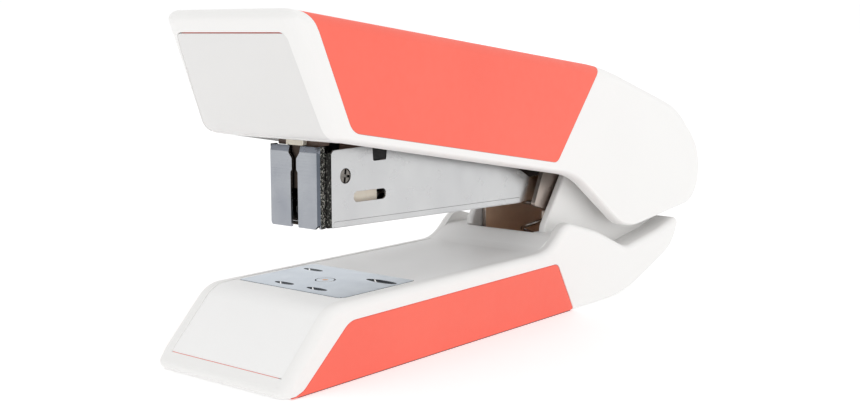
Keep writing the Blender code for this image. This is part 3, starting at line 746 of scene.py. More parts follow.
def base_path(low, high, depth):
    """The base's front slope, deck and ramp, from height low up and back to x = high."""
    outline = rounded(BASE_CORNERS, STEP)
    path = [p for p in outline if p[1] > low + 0.3 and p[0] < high - 0.5 and p[1] > 4.0]
    path = [(reach_at(outline, low), low)] + path
    return shifted(path, depth)


def ramp_path():
    """The rear of the deck: a hollow rise to a flat shelf that runs on beside the cheeks."""
    deck = RIM_Z - DECK_DROP
    loop = rounded([
        (60.0, deck, 0.0), (89.3, deck, 12.0), (96.0, SHELF_Z, 5.0), (112.5, SHELF_Z - 0.4, 0.0),
        (112.5, 0.0, 0.0), (60.0, 0.0, 0.0),
    ], STEP)
    return loop[:-2]


def nose_path(high, depth):
    """The handle's front face, round its lower edge and up to a height, sunk by a depth."""
    outline = rounded(HEAD_CORNERS, STEP)
    bend = [p for p in outline if p[0] < PANEL_BACK and 40.0 < p[1] < high - 4.0]
    bend.sort(key=lambda p: -p[0])
    return shifted(bend + [(reach_at(outline, high), high)], depth)


def grip_outline():
    return rounded([
        (5.4, 80.0, 0.0), (8.6, 74.6, 0.0), (11.2, 70.2, 2.0), (20.3, 50.4, 4.0), (93.9, 38.5, 2.6),
        (113.3, 61.6, 3.0), (114.9, 80.0, 0.0),
    ], STEP)


def sloped(x, z):
    """A height on the magazine at x, given its height at the nose."""
    return z + MAG_SLOPE * (x - NOSE_X)


def run(x0, x1, low, high):
    """A straight bar's outline along the magazine."""
    return [(x0, sloped(x0, low)), (x1, sloped(x1, low)), (x1, sloped(x1, high)), (x0, sloped(x0, high))]


def on_rod(x):
    """The place on the pusher rod's axis at x."""
    return x, 0.0, sloped(x, ROD_Z)


def pair(y0, y1):
    """The two (low, high) ranges across, one on each side of the middle."""
    return ((-y1, -y0), (y0, y1))


# Base

def inlay_outline():
    return rounded([
        (2.6, SOLE_GAP, 0.0), (5.7, 1.2, 3.0), (18.9, 12.6, 5.0), (94.8, 13.1, 2.4), (102.4, SOLE_GAP, 0.6),
    ], STEP)


def cover_plan(grow):
    """The cover seen from above; its front face sits a little towards the near side."""
    wide = PANEL_HALF + 0.1 + grow
    return rounded([
        (-10.0, FRONT_SHIFT - wide, 0.0), (14.0, FRONT_SHIFT - wide + 0.2, 0.0), (24.0, -wide, 0.0),
        (120.0, -wide, 0.0), (120.0, wide, 0.0), (24.0, wide, 0.0), (14.0, FRONT_SHIFT + wide, 0.0),
        (-10.0, FRONT_SHIFT + wide, 0.0),
    ])


def anvil_plan(grow):
    """The anvil plate seen from above, two of its corners sharper."""
    x0 = ANVIL_X - ANVIL_LONG / 2 - grow
    x1 = ANVIL_X + ANVIL_LONG / 2 + ANVIL_REAR_MORE + grow
    y = ANVIL_WIDE / 2 + grow
    return rounded([(x0, -y, 1.7), (x1, -y, 0.7), (x1, y, 1.5), (x0, y, 0.7)])


def base_casing():
    shell = pillow("base_casing", BASE_CORNERS, BASE_ROUND, BASE_REACH, HALF, BASE_REAR, BASE_UNDER)
    hollow = rounded([
        (5.2, -2.0, 0.0), (5.2, 3.4, 1.0), (16.0, 12.2, 3.0), (92.0, 12.2, 2.0),
        (92.0, 7.6, 1.0), (112.0, 7.6, 1.0), (112.0, -2.0, 0.0),
    ])
    cut(shell, slab("hollow", hollow, -HOLLOW_HALF, HOLLOW_HALF))
    bay = rounded([(BAY_FRONT, BAY_FLOOR, 1.0), (BAY_REAR, BAY_FLOOR, 3.0), (BAY_REAR, 60.0, 0.0),
                   (BAY_FRONT, 60.0, 0.0)])
    cut(shell, slab("bay", bay, -BAY_HALF, BAY_HALF))
    seat = strip(base_path(COVER_FOOT - 0.13, 70.0, -1.0) + [(70.0, RIM_Z + 1.0)], 2.0 + DECK_DROP)
    seat_piece = wide_slab("deck_seat", seat)
    cut(shell, keep(seat_piece, plate("seat_plan", cover_plan(-0.1), -10.0, 40.0)))
    rise = shifted(ramp_path(), 0.9)
    cut(shell, slab("ramp_seat", rise + [(112.5, 40.0), (60.0, 40.0)], -PANEL_HALF, PANEL_HALF))
    for y0, y1 in pair(HALF - INLAY_THICK - 0.1, HALF + 2.0):
        cut(shell, slab("inlay_seat", inset(inlay_outline(), -SEAM), y0, y1))
    cut(shell, pin_z("stem_hole", ANVIL_X, 0.0, 5.0, 20.0, STEM_HOLE_R))
    for x, low in zip(BASE_SCREWS, (1.0, 7.0)):
        cut(shell, pin_z("screw_hole", x, 0.0, low, 14.0, BASE_SCREW_R))
    cheek = rounded([
        (97.2, 12.0, 0.0), (98.9, 21.6, 3.0), (114.5, 43.2, 9.0), (134.0, 49.4, 8.0),
        (147.5, 49.4, 6.5), (149.5, 27.0, 10.0), (158.5, 22.5, 2.0), (156.0, 15.0, 0.0), (143.0, 12.0, 0.0),
    ], STEP)
    for y0, y1 in pair(CHEEK_IN, CHEEK_OUT):
        join(shell, soft_slab("cheek", cheek, y0, y1, 0.7))
    pin_hole(shell, PIN_PLAY + 0.05)
    finish(shell, "base_shell", WHITE)


def base_inlays():
    """The coral side panels; a thin coral strip set behind the front groove gives the groove its warm painted
    shade.
    """
    for label, (y0, y1) in zip(("left", "right"), pair(HALF - INLAY_THICK, HALF)):
        inlay = soft_slab("coral_inlay_" + label, inlay_outline(), y0, y1, 0.3)
        finish(inlay, "base_inlay_" + label, CORAL)
    # A coral strip behind the front groove, there only to colour the groove's shade warm: painted shade.
    groove = strip(base_path(3.2, 8.0, DECK_DROP + 0.1), 0.6)
    tongue_tint = slab("coral_groove_tint", groove, 0.3 - PANEL_HALF, PANEL_HALF - 1.0)
    stand_in(keep(tongue_tint, block("low", -5.0, 20.0, -30.0, 30.0, 2.0, 5.2)), "base_inlay_left", CORAL)


def base_cover():
    """The front face, deck and ramp in one moulding, set just inside the rims."""
    line = base_path(COVER_FOOT, 50.0, DECK_DROP) + ramp_path()
    cover = wide_slab("base_cover", strip(line, COVER_THICK))
    keep(cover, plate("cover_plan", cover_plan(0.0), -10.0, 40.0))
    cut(cover, plate("anvil_seat", anvil_plan(0.2), ANVIL_BOTTOM - 0.05, 30.0))
    cut(cover, block("bay_mouth", 96.5, 130.0, -BAY_HALF, BAY_HALF, 0.0, 40.0))
    cut(cover, pin_z("stem_hole", ANVIL_X, 0.0, 5.0, 20.0, STEM_HOLE_R))
    # The cover takes the brighter white copy: painted light.
    finish(cover, "base_deck", COVER_LIT_WHITE, 0.12)


def base_sole():
    """The non-slip sole, and the thin edge of it that shows under the coral sides."""
    sole = plate("rubber_sole", oblong(6.0, 111.4, -16.0, 16.0, 3.0), 0.0, 1.8)
    cut(sole, pin_z("button_hole", ANVIL_X, 0.0, -1.0, 3.0, 6.3))
    for x in range(14, 108, 8):
        if abs(x - ANVIL_X) > 8.0:
            cut(sole, block("tread", x - 0.6, x + 0.6, -14.0, 14.0, -0.5, 0.4))
    finish(sole, "base_sole", SOLE, 0.2)
    edge = plate("sole_edge", oblong(4.0, 102.0, -18.9, 18.9, 1.0), 0.0, SOLE_GAP - 0.02)
    cut(edge, plate("sole_room", oblong(6.5, 111.0, -15.5, 15.5, 3.0), -1.0, 3.0))
    finish(edge, "base_sole", SOLE)


def base_bracket():
    """The folded steel bracket: a floor screwed to the base, with two ears for the hinge pin."""
    low = BAY_FLOOR + 0.3
    section = folded(EAR_OUT, EAR_IN, low, 11.5 - low, 1.4)
    bracket = prism_x("hinge_bracket", section, 97.0, 148.0)
    side = rounded([
        (99.4, low - 1.0, 0.0), (99.4, 12.4, 0.5), (102.6, 14.6, 1.0), (102.6, 25.2, 1.0), (97.4, 26.6, 0.8),
        (101.9, 36.0, 4.0), (114.5, 45.0, 8.0), (134.0, 49.0, 8.0), (147.3, 49.0, 6.0),
        (146.0, 33.0, 8.0), (140.2, 22.0, 4.0), (140.2, low - 1.0, 0.0),
    ])
    keep(bracket, wide_slab("side", side))
    pin_hole(bracket)
    for x in BASE_SCREWS:
        cut(bracket, pin_z("screw_hole", x, 0.0, 8.0, 14.0, BASE_SCREW_R))
    finish(bracket, "base_bracket", DARK, 0.12)
    # The ears' inner faces get the tan: painted warm shade and bounce light.
    paint(bracket, WARM_SHADE, lambda x, y, z, n: abs(y) < EAR_IN + 0.02 and z > 11.0)


def screw(name, node, x, z_head, z_tip):
    """A pan-head screw with a cross recess and a threaded shank; it may point up or down."""
    way = 1 if z_tip < z_head else -1
    low = z_head + way * 0.3
    profile = [(0.0, 0.9)]
    turns = int(abs(low - z_tip) / 0.5)
    for i in range(turns):
        profile += [((i + 0.4) / turns, 1.15), ((i + 0.7) / turns, 1.4), ((i + 0.9) / turns, 1.15)]
    profile += [(1.0, 1.15)]
    body = turned(name, (x, 0.0, z_tip), (x, 0.0, low), profile, 24)
    top = z_head + way * 1.2
    dome = [(0.0, 2.6), (0.35, 2.6), (0.62, 2.4), (0.85, 1.9), (1.0, 1.1)]
    join(body, turned("head", (x, 0.0, z_head), (x, 0.0, top), dome, 40))
    for angle in (0.0, pi / 2):
        bit = block("bit", x - 1.3, x + 1.3, -0.25, 0.25, *sorted((z_head + way * 0.5, top + way)))
        cut(body, turn_about(bit, point(x, 0.0, 0.0), "Z", angle))
    finish(body, node, CHROME)


def hinge_set():
    pin = turned("hinge_bolt", (HINGE_X, -15.2, HINGE_Z), (HINGE_X, 15.6, HINGE_Z), [
        (0.0, 2.2), (0.008, 2.9), (0.02, 3.3), (0.035, 3.4), (0.072, 3.4), (0.073, HINGE_R),
        (0.918, HINGE_R), (0.9185, 1.5), (0.95, 1.5), (0.9505, HINGE_R), (0.985, HINGE_R), (1.0, 1.6),
    ])
    finish(pin, "hinge_pin", CHROME)
    clip = pin_y("snap_ring", HINGE_X, HINGE_Z, 13.3, 13.9, 4.0)
    cut(clip, pin_y("core", HINGE_X, HINGE_Z, 13.0, 14.2, HINGE_R - 0.3))
    cut(clip, block("mouth", HINGE_X - 1.1, HINGE_X + 1.1, 13.0, 14.2, HINGE_Z - 6.0, HINGE_Z))
    finish(clip, "hinge_clip", WIRE, 0.1)
    for label, (y0, y1) in zip(("left", "right"), pair(YOKE_IN, YOKE_OUT)):
        washer = pin_y("nylon_washer_" + label, HINGE_X, HINGE_Z, y0, y1, 4.2)
        cut(washer, pin_y("bore", HINGE_X, HINGE_Z, -12.0, 12.0, HINGE_R + PIN_PLAY))
        finish(washer, "hinge_washer_" + label, CREAM, 0.1)


def lift_spring():
    top = sloped(LIFT_SPRING_X, NOSE_Z) - 1.0
    wire = 0.9

    def place(share, across, up):
        return point(LIFT_SPRING_X + across, up,
                     LIFT_SPRING_Z + wire / 2 + (top - LIFT_SPRING_Z - wire) * share)

    spring = finish(coil("head_lift_spring", 3.6, wire, 3, place), "lift_spring", WIRE)
    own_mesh(spring)


base_casing()
base_inlays()
base_cover()
base_sole()
base_bracket()
for end, x, tip in zip(("front", "rear"), BASE_SCREWS, (4.0, 7.4)):
    screw(end + "_bracket_screw", "bracket_screw_" + end, x, 11.8, tip)
hinge_set()
lift_spring()


# Anvil

def pocket(x, y, wide, long):
    """A cutter shaped like a shallow leaf, blunt at its far end and drawn out at its near end."""
    shape = bmesh.new()
    bmesh.ops.create_uvsphere(shape, u_segments=40, v_segments=20, radius=1.0)
    for v in shape.verts:
        v.co.y = v.co.y - 0.35 * (1.0 - v.co.y * v.co.y)
        v.co.x *= 0.6 + 0.4 * (1.0 + v.co.y) / 2
    scale = Matrix.Diagonal((wide / 2 * MM, long / 2 * MM, POCKET_DEPTH * MM, 1.0))
    shape.transform(Matrix.Translation(point(x, y, ANVIL_TOP + 0.05)) @ scale)
    return solid("pocket", shape)


def anvil():
    top = soft_plate("anvil_sheet", anvil_plan(0.0), ANVIL_BOTTOM, ANVIL_TOP, 0.12)
    for px, py, wide, long in POCKETS:
        cut(top, pocket(px, py, wide, long))
    cut(top, pin_z("stem_hole", ANVIL_X, 0.0, 10.0, 20.0, 2.3))
    finish(top, "anvil_plate", ZINC)
    # The pocket hollows are painted dark: painted shade and dark reflection.
    paint(top, POCKET_SHADE, lambda x, y, z, n: ANVIL_BOTTOM + 0.02 < z < ANVIL_TOP - 0.02 and n.z > 0.1
          and abs(y) < ANVIL_WIDE / 2 - 0.5 and abs(x - ANVIL_X) < ANVIL_LONG / 2 - 0.5)
    paint(top, SHADED, lambda x, y, z, n: z < ANVIL_TOP - 0.1 and abs(n.z) < 0.1)
    # Each pocket gets a thin rib in near-white steel: a painted glint.
    for i, (px, py, wide, long) in enumerate(POCKETS):
        y = py + long * 0.2
        rib = block("pocket_rib_%d" % (i + 1), px - wide / 2, px + wide / 2, y - RIB_HALF, y + RIB_HALF,
                    ANVIL_TOP - 0.5, ANVIL_TOP - 0.03)
        stand_in(turn_about(rib, point(px, y, 0.0), "Z", RIB_TURN), "anvil_plate", GLINT)
    stem = turned("anvil_rivet", (ANVIL_X, 0.0, 0.6), (ANVIL_X, 0.0, ANVIL_TOP + 0.03), [
        (0.0, 5.2), (0.02, 5.7), (0.04, 5.8), (0.1, 5.8), (0.112, 5.6), (0.113, 1.85), (0.985, 2.1),
        (1.0, 2.0),
    ])
    cut(stem, turned("dimple", (ANVIL_X, 0.0, ANVIL_TOP - 0.35), (ANVIL_X, 0.0, ANVIL_TOP + 0.3),
                     [(0.0, 0.2), (0.4, 0.6), (1.0, 0.9)], 32))
    finish(stem, "anvil_stem", CHROME)
    paint(stem, ZINC, lambda x, y, z, n: z > ANVIL_TOP - 0.05 and n.z > 0.9)
    # The rivet's dimple gets the tan: painted shade in the hollow.
    paint(stem, WARM_SHADE, lambda x, y, z, n: ANVIL_TOP - 0.4 < z < ANVIL_TOP
          and abs(x - ANVIL_X) < 0.9 and abs(y) < 0.9)


anvil()


# Magazine

def nose_jacket():
    """The channel's folded front: a bent sheet with the staple slot between its two flanges."""
    inner = NOSE_HALF - NOSE_SHEET
    plan = rounded([
        (24.6, -NOSE_HALF, 0.0), (24.2, -NOSE_HALF, 0.0), (23.2, -NOSE_HALF, 0.0),
        (NOSE_FACE, NOSE_SHIFT - NOSE_HALF, 0.8), (NOSE_FACE, NOSE_HALF, 0.9), (23.45, NOSE_HALF, 0.0),
        (24.2, NOSE_HALF, 0.0), (24.6, NOSE_HALF, 0.0), (24.6, inner, 0.0),
        (NOSE_FACE + NOSE_SHEET, inner, 0.3), (NOSE_FACE + NOSE_SHEET, -inner, 0.3), (24.6, -inner, 0.0),
    ], 10.0)
    rings = []
    for z, lean in ((NOSE_Z, 0.0), (NOSE_LEAN_Z - 0.15, 0.0), (NOSE_LEAN_Z, 0.03), (NOSE_TOP, 0.4)):
        rings.append([point(x + (lean if x < NOSE_FACE + 0.55 else 0.0), y, z) for x, y in plan])
    jacket = tube_of_rings("nose_jacket", rings)
    slot_half = [
        (1.05, 20.0, 0.0), (1.05, 41.1, 0.1), (0.67, 41.6, 0.3), (0.67, 44.0, 0.8), (1.6, 45.2, 0.4),
        (1.6, 50.0, 0.0),
    ]
    slot = [(y + SLOT_Y, z) for y, z in rounded(mirrored(slot_half))]
    cut(jacket, prism_x("slot", slot, 20.0, 23.3))
    for side in (-1, 1):
        chamfer = [(side * 6.3, 28.0), (side * 6.3, NOSE_Z), (side * 7.3, NOSE_Z + 1.0), (side * 9.0, 28.0)]
        cut(jacket, prism_x("chamfer", chamfer, 20.0, 23.3))
    return soften(jacket, 0.1)


def magazine_channel():
    """The staple channel: a folded floor and walls, with ears that carry the hinge pin."""
    section = folded(MAG_OUT, MAG_IN, NOSE_Z, 0.5, 0.9)
    body = prism_x("magazine_channel", section, 24.3, 147.0, MAG_SLOPE)
    side = rounded([
        (24.4, NOSE_Z - 1.0, 0.0), (24.4, 45.2, 0.4), (26.0, 45.2, 0.4), (27.5, 38.4, 1.0),
        (80.0, sloped(80.0, 38.4), 4.0), (88.0, 33.6, 4.0), (118.0, 33.6, 8.0), (136.0, 48.6, 5.0),
        (146.4, 48.6, 5.0), (146.4, 37.6, 5.0), (122.0, sloped(122.0, NOSE_Z) - 0.4, 8.0),
    ])
    keep(body, wide_slab("side", side))
    cut(body, block("staple_exit", 22.0, 25.4, -MAG_IN, MAG_IN, 20.0, 34.0))
    pin_hole(body)
    cut(body, wide_slab("window", oblong(32.6, 44.2, 33.6, 36.9, 1.6)))
    finish(body, "magazine_body", CHROME, 0.08)
    paint(body, SHADED, lambda x, y, z, n: abs(y) < MAG_IN + 0.03 and z > NOSE_Z + 0.2)
    jacket = nose_jacket()
    finish(jacket, "magazine_body", NOSE)
    paint(jacket, EDGE, lambda x, y, z, n: 23.15 < x < 24.3 and abs(y) > NOSE_HALF - 0.15)
    # The near bend gets the dark bluish steel: painted reflection.
    paint(jacket, BEND_REFLECTION, lambda x, y, z, n: y < 0.0 and x < 23.2 and n.y < -0.6)
    # The leaned top band gets the darker bluish steel: painted reflection.
    paint(jacket, NOSE_TOP_REFLECTION, lambda x, y, z, n: z > NOSE_LEAN_Z - 0.05 and x < 24.0)
    paint(jacket, SHADED, lambda x, y, z, n: x > NOSE_FACE + 0.35 and abs(y) < NOSE_HALF - 0.5)


def staple_rail():
    rail = slab("rail", run(24.4, 98.0, 30.35, RAIL_TOP), -RAIL_HALF, RAIL_HALF)
    cut(rail, slab("inside", run(25.4, 97.0, 20.0, 35.0), -RAIL_HALF + 0.6, RAIL_HALF - 0.6))
    cut(rail, slab("fin_slot", run(28.0, 95.0, 34.0, 40.0), -1.1, 1.1))
    cut(rail, rod("rod_hole", on_rod(20.0), on_rod(26.0), ROD_R + 0.2))
    finish(rail, "staple_rail", CHROME, 0.2)
    profile = [(0.0, 0.6), (0.004, ROD_R), (0.996, ROD_R), (1.0, 0.6)]
    bar = turned("feed_rod", on_rod(24.6), on_rod(96.7), profile, 32)
    finish(bar, "pusher_rod", CHROME)


def pusher_spring():
    def place(share, across, up):
        along = FEED_SPRING[0] + (FEED_SPRING[1] - FEED_SPRING[0]) * share
        return point(along, across, sloped(along, ROD_Z) + up)

    spring = finish(coil("feed_spring", 1.75, 0.42, 34, place), "pusher_spring", WIRE)
    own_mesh(spring)


def pusher():
    """The cream block that pushes the staples: a saddle on the rail, a fin and a ring on the rod."""
    body = slab("pusher_block", run(PUSHER_FRONT, PUSHER_BACK, 30.6, 38.0), -6.2, 6.2)
    cut(body, slab("over_rail", run(20.0, 60.0, 20.0, RAIL_TOP + 0.35), -RAIL_HALF - 0.3, RAIL_HALF + 0.3))
    cut(body, slab("spring_way", run(36.4, 60.0, 20.0, 45.0), -2.5, 2.5))
    join(body, slab("fin", run(29.0, 36.0, 31.0, 36.4), -0.75, 0.75))
    join(body, slab("ring", run(29.0, 36.0, 31.1, 34.6), -2.1, 2.1))
    cut(body, rod("bore", on_rod(20.0), on_rod(50.0), ROD_R + 0.25))
    finish(body, "pusher", CREAM, 0.15)
    paint(body, SHADED, lambda x, y, z, n: x < 25.0)


magazine_channel()
staple_rail()
pusher_spring()
pusher()


# Driver frame and drive

def side_plates():
    """Two polished side plates over the magazine, tied by a web, with a folded bead along the bottom."""
    outline = rounded([
        (FRAME_FRONT, 29.35, 0.5), (94.0, 27.45, 3.0), (101.0, 28.2, 1.4), (102.3, 31.8, 1.0),
        (94.5, 35.9, 14.0), (84.5, 38.5, 1.0), (87.0, 42.2, 2.0), (116.0, 41.4, 4.0), (146.6, 37.6, 5.0),
        (146.6, 48.4, 5.0), (92.0, 48.4, 10.0), (76.0, 44.6, 6.0), (60.0, 46.4, 4.0),
        (FRAME_FRONT, 45.75, 1.1),
    ])
    frame_piece = slab("side_plates", outline, -FRAME_OUT, FRAME_OUT)
    inner = block("inner", 20.0, 160.0, -FRAME_IN, FRAME_IN, 20.0, 60.0)
    cut(inner, slab("web", [(62.0, 39.2), (86.0, 39.6), (86.0, 40.2), (62.0, 39.8)], -10.0, 10.0))
    cut(frame_piece, inner)
    bead = rounded([
        (FRAME_FRONT + 0.5, 29.45, 0.4), (94.6, 27.6, 0.6), (94.6, 28.9, 0.6), (FRAME_FRONT + 0.5, 30.7, 0.6),
    ], 12.0)
    for y0, y1 in pair(FRAME_IN + 0.1, FRAME_OUT + 0.1):
        join(frame_piece, soft_slab("bead", bead, y0, y1, 0.1))
    slot = rounded([(32.9, 34.2, 1.12), (43.3, 34.0, 1.12), (43.3, 36.3, 1.12), (32.9, 36.5, 1.12)])
    cut(frame_piece, wide_slab("slot", slot))
    cut(frame_piece, bore_y("rivet_hole", SPACER_X, SPACER_Z, SPACER_R + 0.18))
    pin_hole(frame_piece)
    handle_hole(frame_piece)
    notch = rounded([(39.2, 42.6, 0.4), (43.4, 42.6, 0.4), (44.4, 50.0, 0.0), (38.5, 50.0, 0.0)], 15.0)
    cut(frame_piece, wide_slab("notch", notch))
    finish(frame_piece, "driver_frame", CHROME, 0.07)
    # The plates' inner faces get the reddish brown: painted shade.
    paint(frame_piece, INNER_SHADE, lambda x, y, z, n: abs(y) < FRAME_IN + 0.02 and abs(n.y) > 0.9)
    front = rounded([
        (24.75, 29.5, 0.4), (FRAME_FRONT + 0.3, 29.4, 0.0), (FRAME_FRONT + 0.3, 45.4, 0.0),
        (24.75, 45.4, 0.6),
    ], 15.0)
    for label, (y0, y1) in zip(("left", "right"), pair(FRAME_IN - 0.1, FRAME_OUT - 0.14)):
        torn = slab("sheared_front_" + label, front, y0, y1)
        finish(torn, "driver_frame", EDGE_DARK, 0.08)


def nose_spacer():
    """The riveted pin between the two side plates, with a cross pressed into each end."""
    spacer = pin_y("cross_rivet", SPACER_X, SPACER_Z, -SPACER_HALF, SPACER_HALF, SPACER_R)
    for angle in (0.15, pi / 2 + 0.15):
        for y0, y1 in pair(SPACER_HALF - 0.6, SPACER_HALF + 0.5):
            bit = block("bit", SPACER_X - 1.8, SPACER_X + 1.8, y0, y1, SPACER_Z - 0.3, SPACER_Z + 0.3)
            cut(spacer, turn_about(bit, point(SPACER_X, 0.0, SPACER_Z), "Y", angle))
    finish(spacer, "nose_spacer", RIVET, 0.08)


def stop_bumper():
    bumper = block("rubber_stop", STOP_FRONT, STOP_BACK, -6.9, 6.9, 40.9, 42.4)
    taper = rounded([(39.3, 42.75, 0.4), (43.3, 42.75, 0.4), (44.0, 46.6, 0.6), (38.8, 46.6, 0.6)], 12.0)
    for y0, y1 in pair(5.8, 6.9):
        join(bumper, block("post", STOP_FRONT, STOP_BACK, y0, y1, 41.5, 46.8))
    for y0, y1 in pair(6.5, 7.6):
        join(bumper, soft_slab("lug", taper, y0, y1, 0.25))
    finish(bumper, "stop_bumper", RUBBER, 0.1)


def handle_pin():
    pin = turned("handle_axle", (HANDLE_X, -8.6, HANDLE_Z), (HANDLE_X, 8.6, HANDLE_Z),
                 [(0.0, 1.5), (0.015, HANDLE_PIN_R), (0.985, HANDLE_PIN_R), (1.0, 1.5)])
    finish(pin, "handle_pin", CHROME)


def return_spring():
    def place(share, across, up):
        return point(RETURN_SPRING_X + across, up, RETURN_SPRING_Z + RETURN_SPRING_RISE * share)

    spring = finish(coil("handle_return_spring", 3.4, 0.7, 5, place), "return_spring", WIRE)
    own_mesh(spring)


def drive_arm():
    side = rounded([
        (TAB_FRONT, TAB_Z[0], 0.0), (TAB_BACK, TAB_Z[0], 0.0), (TAB_BACK, 49.9, 0.0), (95.0, 48.5, 30.0),
        (131.0, 47.0, 6.0),
        (136.2, 38.2, 4.6), (145.8, 38.2, 4.6), (145.8, 47.9, 4.6), (136.0, 49.2, 6.0), (100.0, 50.6, 20.0),
        (TAB_BACK, TAB_Z[1], 0.0), (TAB_FRONT, TAB_Z[1], 0.0),
    ])
    arm = slab("press_arm", side, -ARM_HALF, ARM_HALF)
    for y0, y1 in ((-9.0, SLOT_Y - TAB_HALF), (SLOT_Y + TAB_HALF, 9.0)):
        cut(arm, block("beside_tab", 18.0, TAB_BACK + 0.1, y0, y1, 45.0, 60.0))
    hollow = rounded([(104.0, 46.0, 0.0), (125.0, 40.0, 0.0), (125.0, 46.6, 2.0), (104.0, 47.6, 2.0)], 15.0)
    cut(arm, slab("light_hole", hollow, -4.6, 4.6))
    pin_hole(arm)
    finish(arm, "drive_arm", CHROME, 0.2)


def blade():
    """The driver blade: full width below, a narrow neck above that the arm's tab drives."""
    half = [(BLADE_HALF, 37.6, 0.2), (BLADE_HALF, 45.2, 0.6), (NECK_HALF, 45.6, 0.6), (NECK_HALF, 54.4, 0.5)]
    outline = rounded(mirrored(half), 12.0)
    driver = prism_x("staple_driver", outline, BLADE_FRONT, BLADE_BACK)
    cut(driver, prism_x("window", oblong(-0.9, 0.9, TAB_Z[0] - 0.4, TAB_Z[1] + 0.4, 0.2), 22.0, 25.0))
    finish(driver, "driver_blade", SHADED, 0.06)
    carrier = block("blade_carrier", 24.05, 27.4, -6.0, 6.0, *CARRIER_Z)
    # The carrier's dark brown is painted shade.
    finish(carrier, "blade_holder", CARRIER_SHADE, 0.25)
    cap = block("blade_cap", NOSE_FACE + 0.62, 24.3, -2.6, 2.5, CARRIER_Z[0] + 0.15, CARRIER_Z[1] - 0.1)
    way = NECK_HALF + 0.05
    cut(cap, block("neck_way", BLADE_FRONT - 0.08, BLADE_BACK + 0.1, -way, way, 40.0, 60.0))
    finish(cap, "blade_holder", CREAM, 0.04)


side_plates()
nose_spacer()
stop_bumper()
handle_pin()
return_spring()
drive_arm()
blade()


# Handle

def panel_front(grow_top, half_low, half_high):
    """The front panel's outline seen from the nose, wider at its foot."""
    top = PANEL_HIGH + grow_top
    return rounded(mirrored([(half_low, 40.0, 0.0), (half_high, top, 1.8)]))


def yoke_top(x):
    """The height of the steel yoke's flat top inside the handle."""
    return 59.4 - 0.155 * (x - 90.0)


def handle_casing():
    shell = head_pillow("handle_casing", 0.0)
    ring = slab("ring", inset(grip_outline(), -SEAM), -30.0, 30.0)
    cut(ring, head_pillow("core", GRIP_THICK + SEAM))
    cut(shell, ring)
    hollow = rounded([
        (9.6, 71.4, 1.0), (116.0, 58.3, 60.0), (154.5, 46.5, 24.0), (166.6, 36.0, 9.0), (164.5, 8.0, 0.0),
        (90.0, 8.0, 0.0), (19.6, 40.0, 0.0), (19.6, 50.0, 2.0), (15.2, 56.0, 2.0),
    ])
    cut(shell, slab("hollow", hollow, -WALL_HALF, WALL_HALF))
    seat = slab("seat", strip(nose_path(PANEL_HIGH + 2.5, -1.5), 3.0), -25.0, 25.0)
    keep(seat, prism_x("seat_front", panel_front(0.24, 18.5, 16.0), -10.0, 60.0))
    cut(shell, seat)
    for x, top in zip(YOKE_SCREWS, (61.2, 55.9)):
        join(shell, pin_z("boss", x, 0.0, yoke_top(x - 3.4) + 0.3, top, 3.4))
        cut(shell, pin_z("boss_hole", x, 0.0, yoke_top(x) - 2.0, yoke_top(x) + 2.4, 1.6))
    finish(shell, "handle_shell", WHITE)


def soft_grip():
    """The coral saddle over the handle, and a thin coral strip behind the front groove: part of the grip
    moulding, and also set there to give the groove its warm painted shade.
    """
    grip = head_pillow("soft_grip", 0.0)
    cut(grip, head_pillow("core", GRIP_THICK))
    keep(grip, slab("region", grip_outline(), -30.0, 30.0))
    finish(grip, "handle_grip", CORAL)
    # A coral strip behind the front groove: part of the grip, and also a painted shade that colours the
    # groove warm.
    tongue_tint = slab("grip_groove_tint", strip(nose_path(PANEL_HIGH + 1.2, 0.75), 0.7), -15.0, 15.0)
    stand_in(keep(tongue_tint, block("high", 0.0, 30.0, -30.0, 30.0, 68.4, 71.2)), "handle_grip", CORAL)


def front_panel():
    panel = head_pillow("front_panel", PANEL_SINK)
    region = slab("region", strip(nose_path(PANEL_HIGH + 2.0, -1.0), 2.3), -25.0, 25.0)
    keep(region, prism_x("front", panel_front(0.0, 18.65, 16.2), -10.0, 60.0))
    keep(panel, region)
    # The panel takes the darker white copy: painted shade.
    finish(panel, "nose_panel", PANEL_SHADE_WHITE)


def handle_yoke():
    outline = rounded([
        (91.0, yoke_top(91.0), 0.8), (131.0, yoke_top(131.0), 0.8), (131.0, 46.0, 4.0),
        (126.2, 37.8, 5.0), (115.8, 37.8, 5.0), (112.0, 47.4, 3.0), (94.0, 47.4, 3.0),
    ])
    yoke = slab("press_yoke", outline, -YOKE_OUT, YOKE_OUT)
    inside = [(80.0, 20.0), (140.0, 20.0), (140.0, yoke_top(140.0) - 1.0), (80.0, yoke_top(80.0) - 1.0)]
    cut(yoke, slab("inside", inside, -YOKE_IN, YOKE_IN))
    handle_hole(yoke)
    cut(yoke, bore_y("roller_hole", ROLLER_X, ROLLER_Z, 1.2))
    for x in YOKE_SCREWS:
        cut(yoke, pin_z("screw_hole", x, 0.0, 50.0, 65.0, 1.6))
    finish(yoke, "handle_yoke", DARK, 0.12)


def press_roller():
    roller = turned("roller", (ROLLER_X, -8.5, ROLLER_Z), (ROLLER_X, 8.5, ROLLER_Z), [
        (0.0, 0.8), (0.012, 1.0), (0.094, 1.0), (0.0945, 1.8), (0.105, 2.0), (0.895, 2.0), (0.9055, 1.8),
        (0.906, 1.0), (0.988, 1.0), (1.0, 0.8),
    ])
    finish(roller, "press_roller", CHROME)


handle_casing()
soft_grip()
front_panel()
handle_yoke()
press_roller()
for end, x, sunk in zip(("front", "rear"), YOKE_SCREWS, (1.6, 1.8)):
    screw(end + "_yoke_screw", "yoke_screw_" + end, x, yoke_top(x) - sunk, yoke_top(x) + 2.2)


# Camera, light, floor

LENS = 51.04
CAMERA_PLACE = (-0.24195, -0.18315, 0.0700)
CAMERA_AIM = (0.7674, 0.6258, -0.1397)


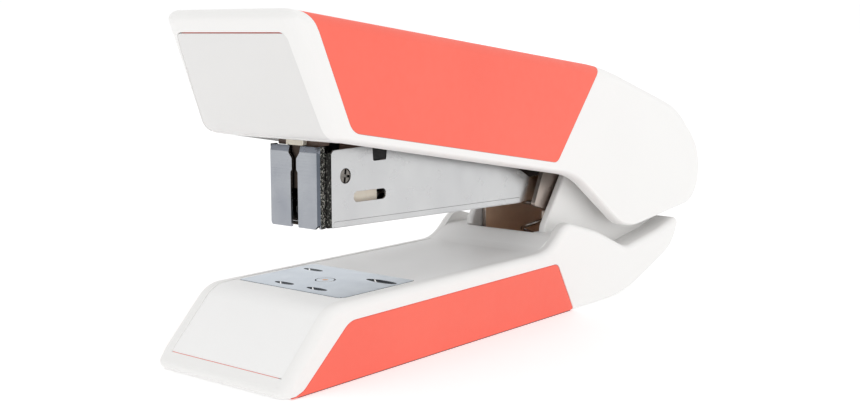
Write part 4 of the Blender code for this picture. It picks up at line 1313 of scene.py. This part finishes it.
def add_camera():
    data = bpy.data.cameras.new("camera")
    data.sensor_width = 36.0
    data.lens = LENS
    camera = bpy.data.objects.new("camera", data)
    camera.location = CAMERA_PLACE
    camera.rotation_euler = Vector(CAMERA_AIM).to_track_quat("-Z", "Y").to_euler()
    bpy.context.scene.collection.objects.link(camera)
    bpy.context.scene.camera = camera


def add_light(name, place, aim, size, power):
    data = bpy.data.lights.new(name, "AREA")
    data.shape = "RECTANGLE"
    data.size, data.size_y = size
    data.energy = power
    light = bpy.data.objects.new(name, data)
    light.location = place
    light.rotation_euler = (Vector(aim) - Vector(place)).to_track_quat("-Z", "Y").to_euler()
    bpy.context.scene.collection.objects.link(light)


def add_floor():
    """A wide white table, lit a little from within so that it stays clear of grey."""
    shape = bmesh.new()
    bmesh.ops.create_grid(shape, x_segments=1, y_segments=1, size=30.0)
    floor = solid("floor", shape)
    surface = Surface("floor_paper", (0.78, 0.78, 0.78), 0.9)
    surface.set(Emission_Color=(1.0, 1.0, 1.0, 1.0), Emission_Strength=0.36)
    floor.data.materials.append(surface.material)


def add_world():
    """A pale studio: bright overhead and behind the stapler, a little dimmer in front of the nose."""
    world = bpy.data.worlds.new("studio")
    world.use_nodes = True
    tree = world.node_tree
    direction = tree.nodes.new("ShaderNodeTexCoord").outputs["Generated"]
    split = tree.nodes.new("ShaderNodeSeparateXYZ")
    tree.links.new(direction, split.inputs["Vector"])
    scale = tree.nodes.new("ShaderNodeMapRange")
    scale.interpolation_type = "SMOOTHSTEP"
    fill(scale, {"From_Min": -0.95, "From_Max": 0.25, "To_Min": 0.84, "To_Max": 1.02})
    tree.links.new(split.outputs["X"], scale.inputs["Value"])
    tree.links.new(scale.outputs["Result"], tree.nodes["Background"].inputs["Strength"])
    tree.nodes["Background"].inputs["Color"].default_value = (1.0, 1.0, 1.0, 1.0)
    bpy.context.scene.world = world


add_camera()
add_world()
add_floor()
add_light("key", (-0.25, -0.75, 0.75), (0.0, 0.0, 0.03), (0.7, 0.5), 0.4)
bpy.context.scene.view_settings.view_transform = "Standard"
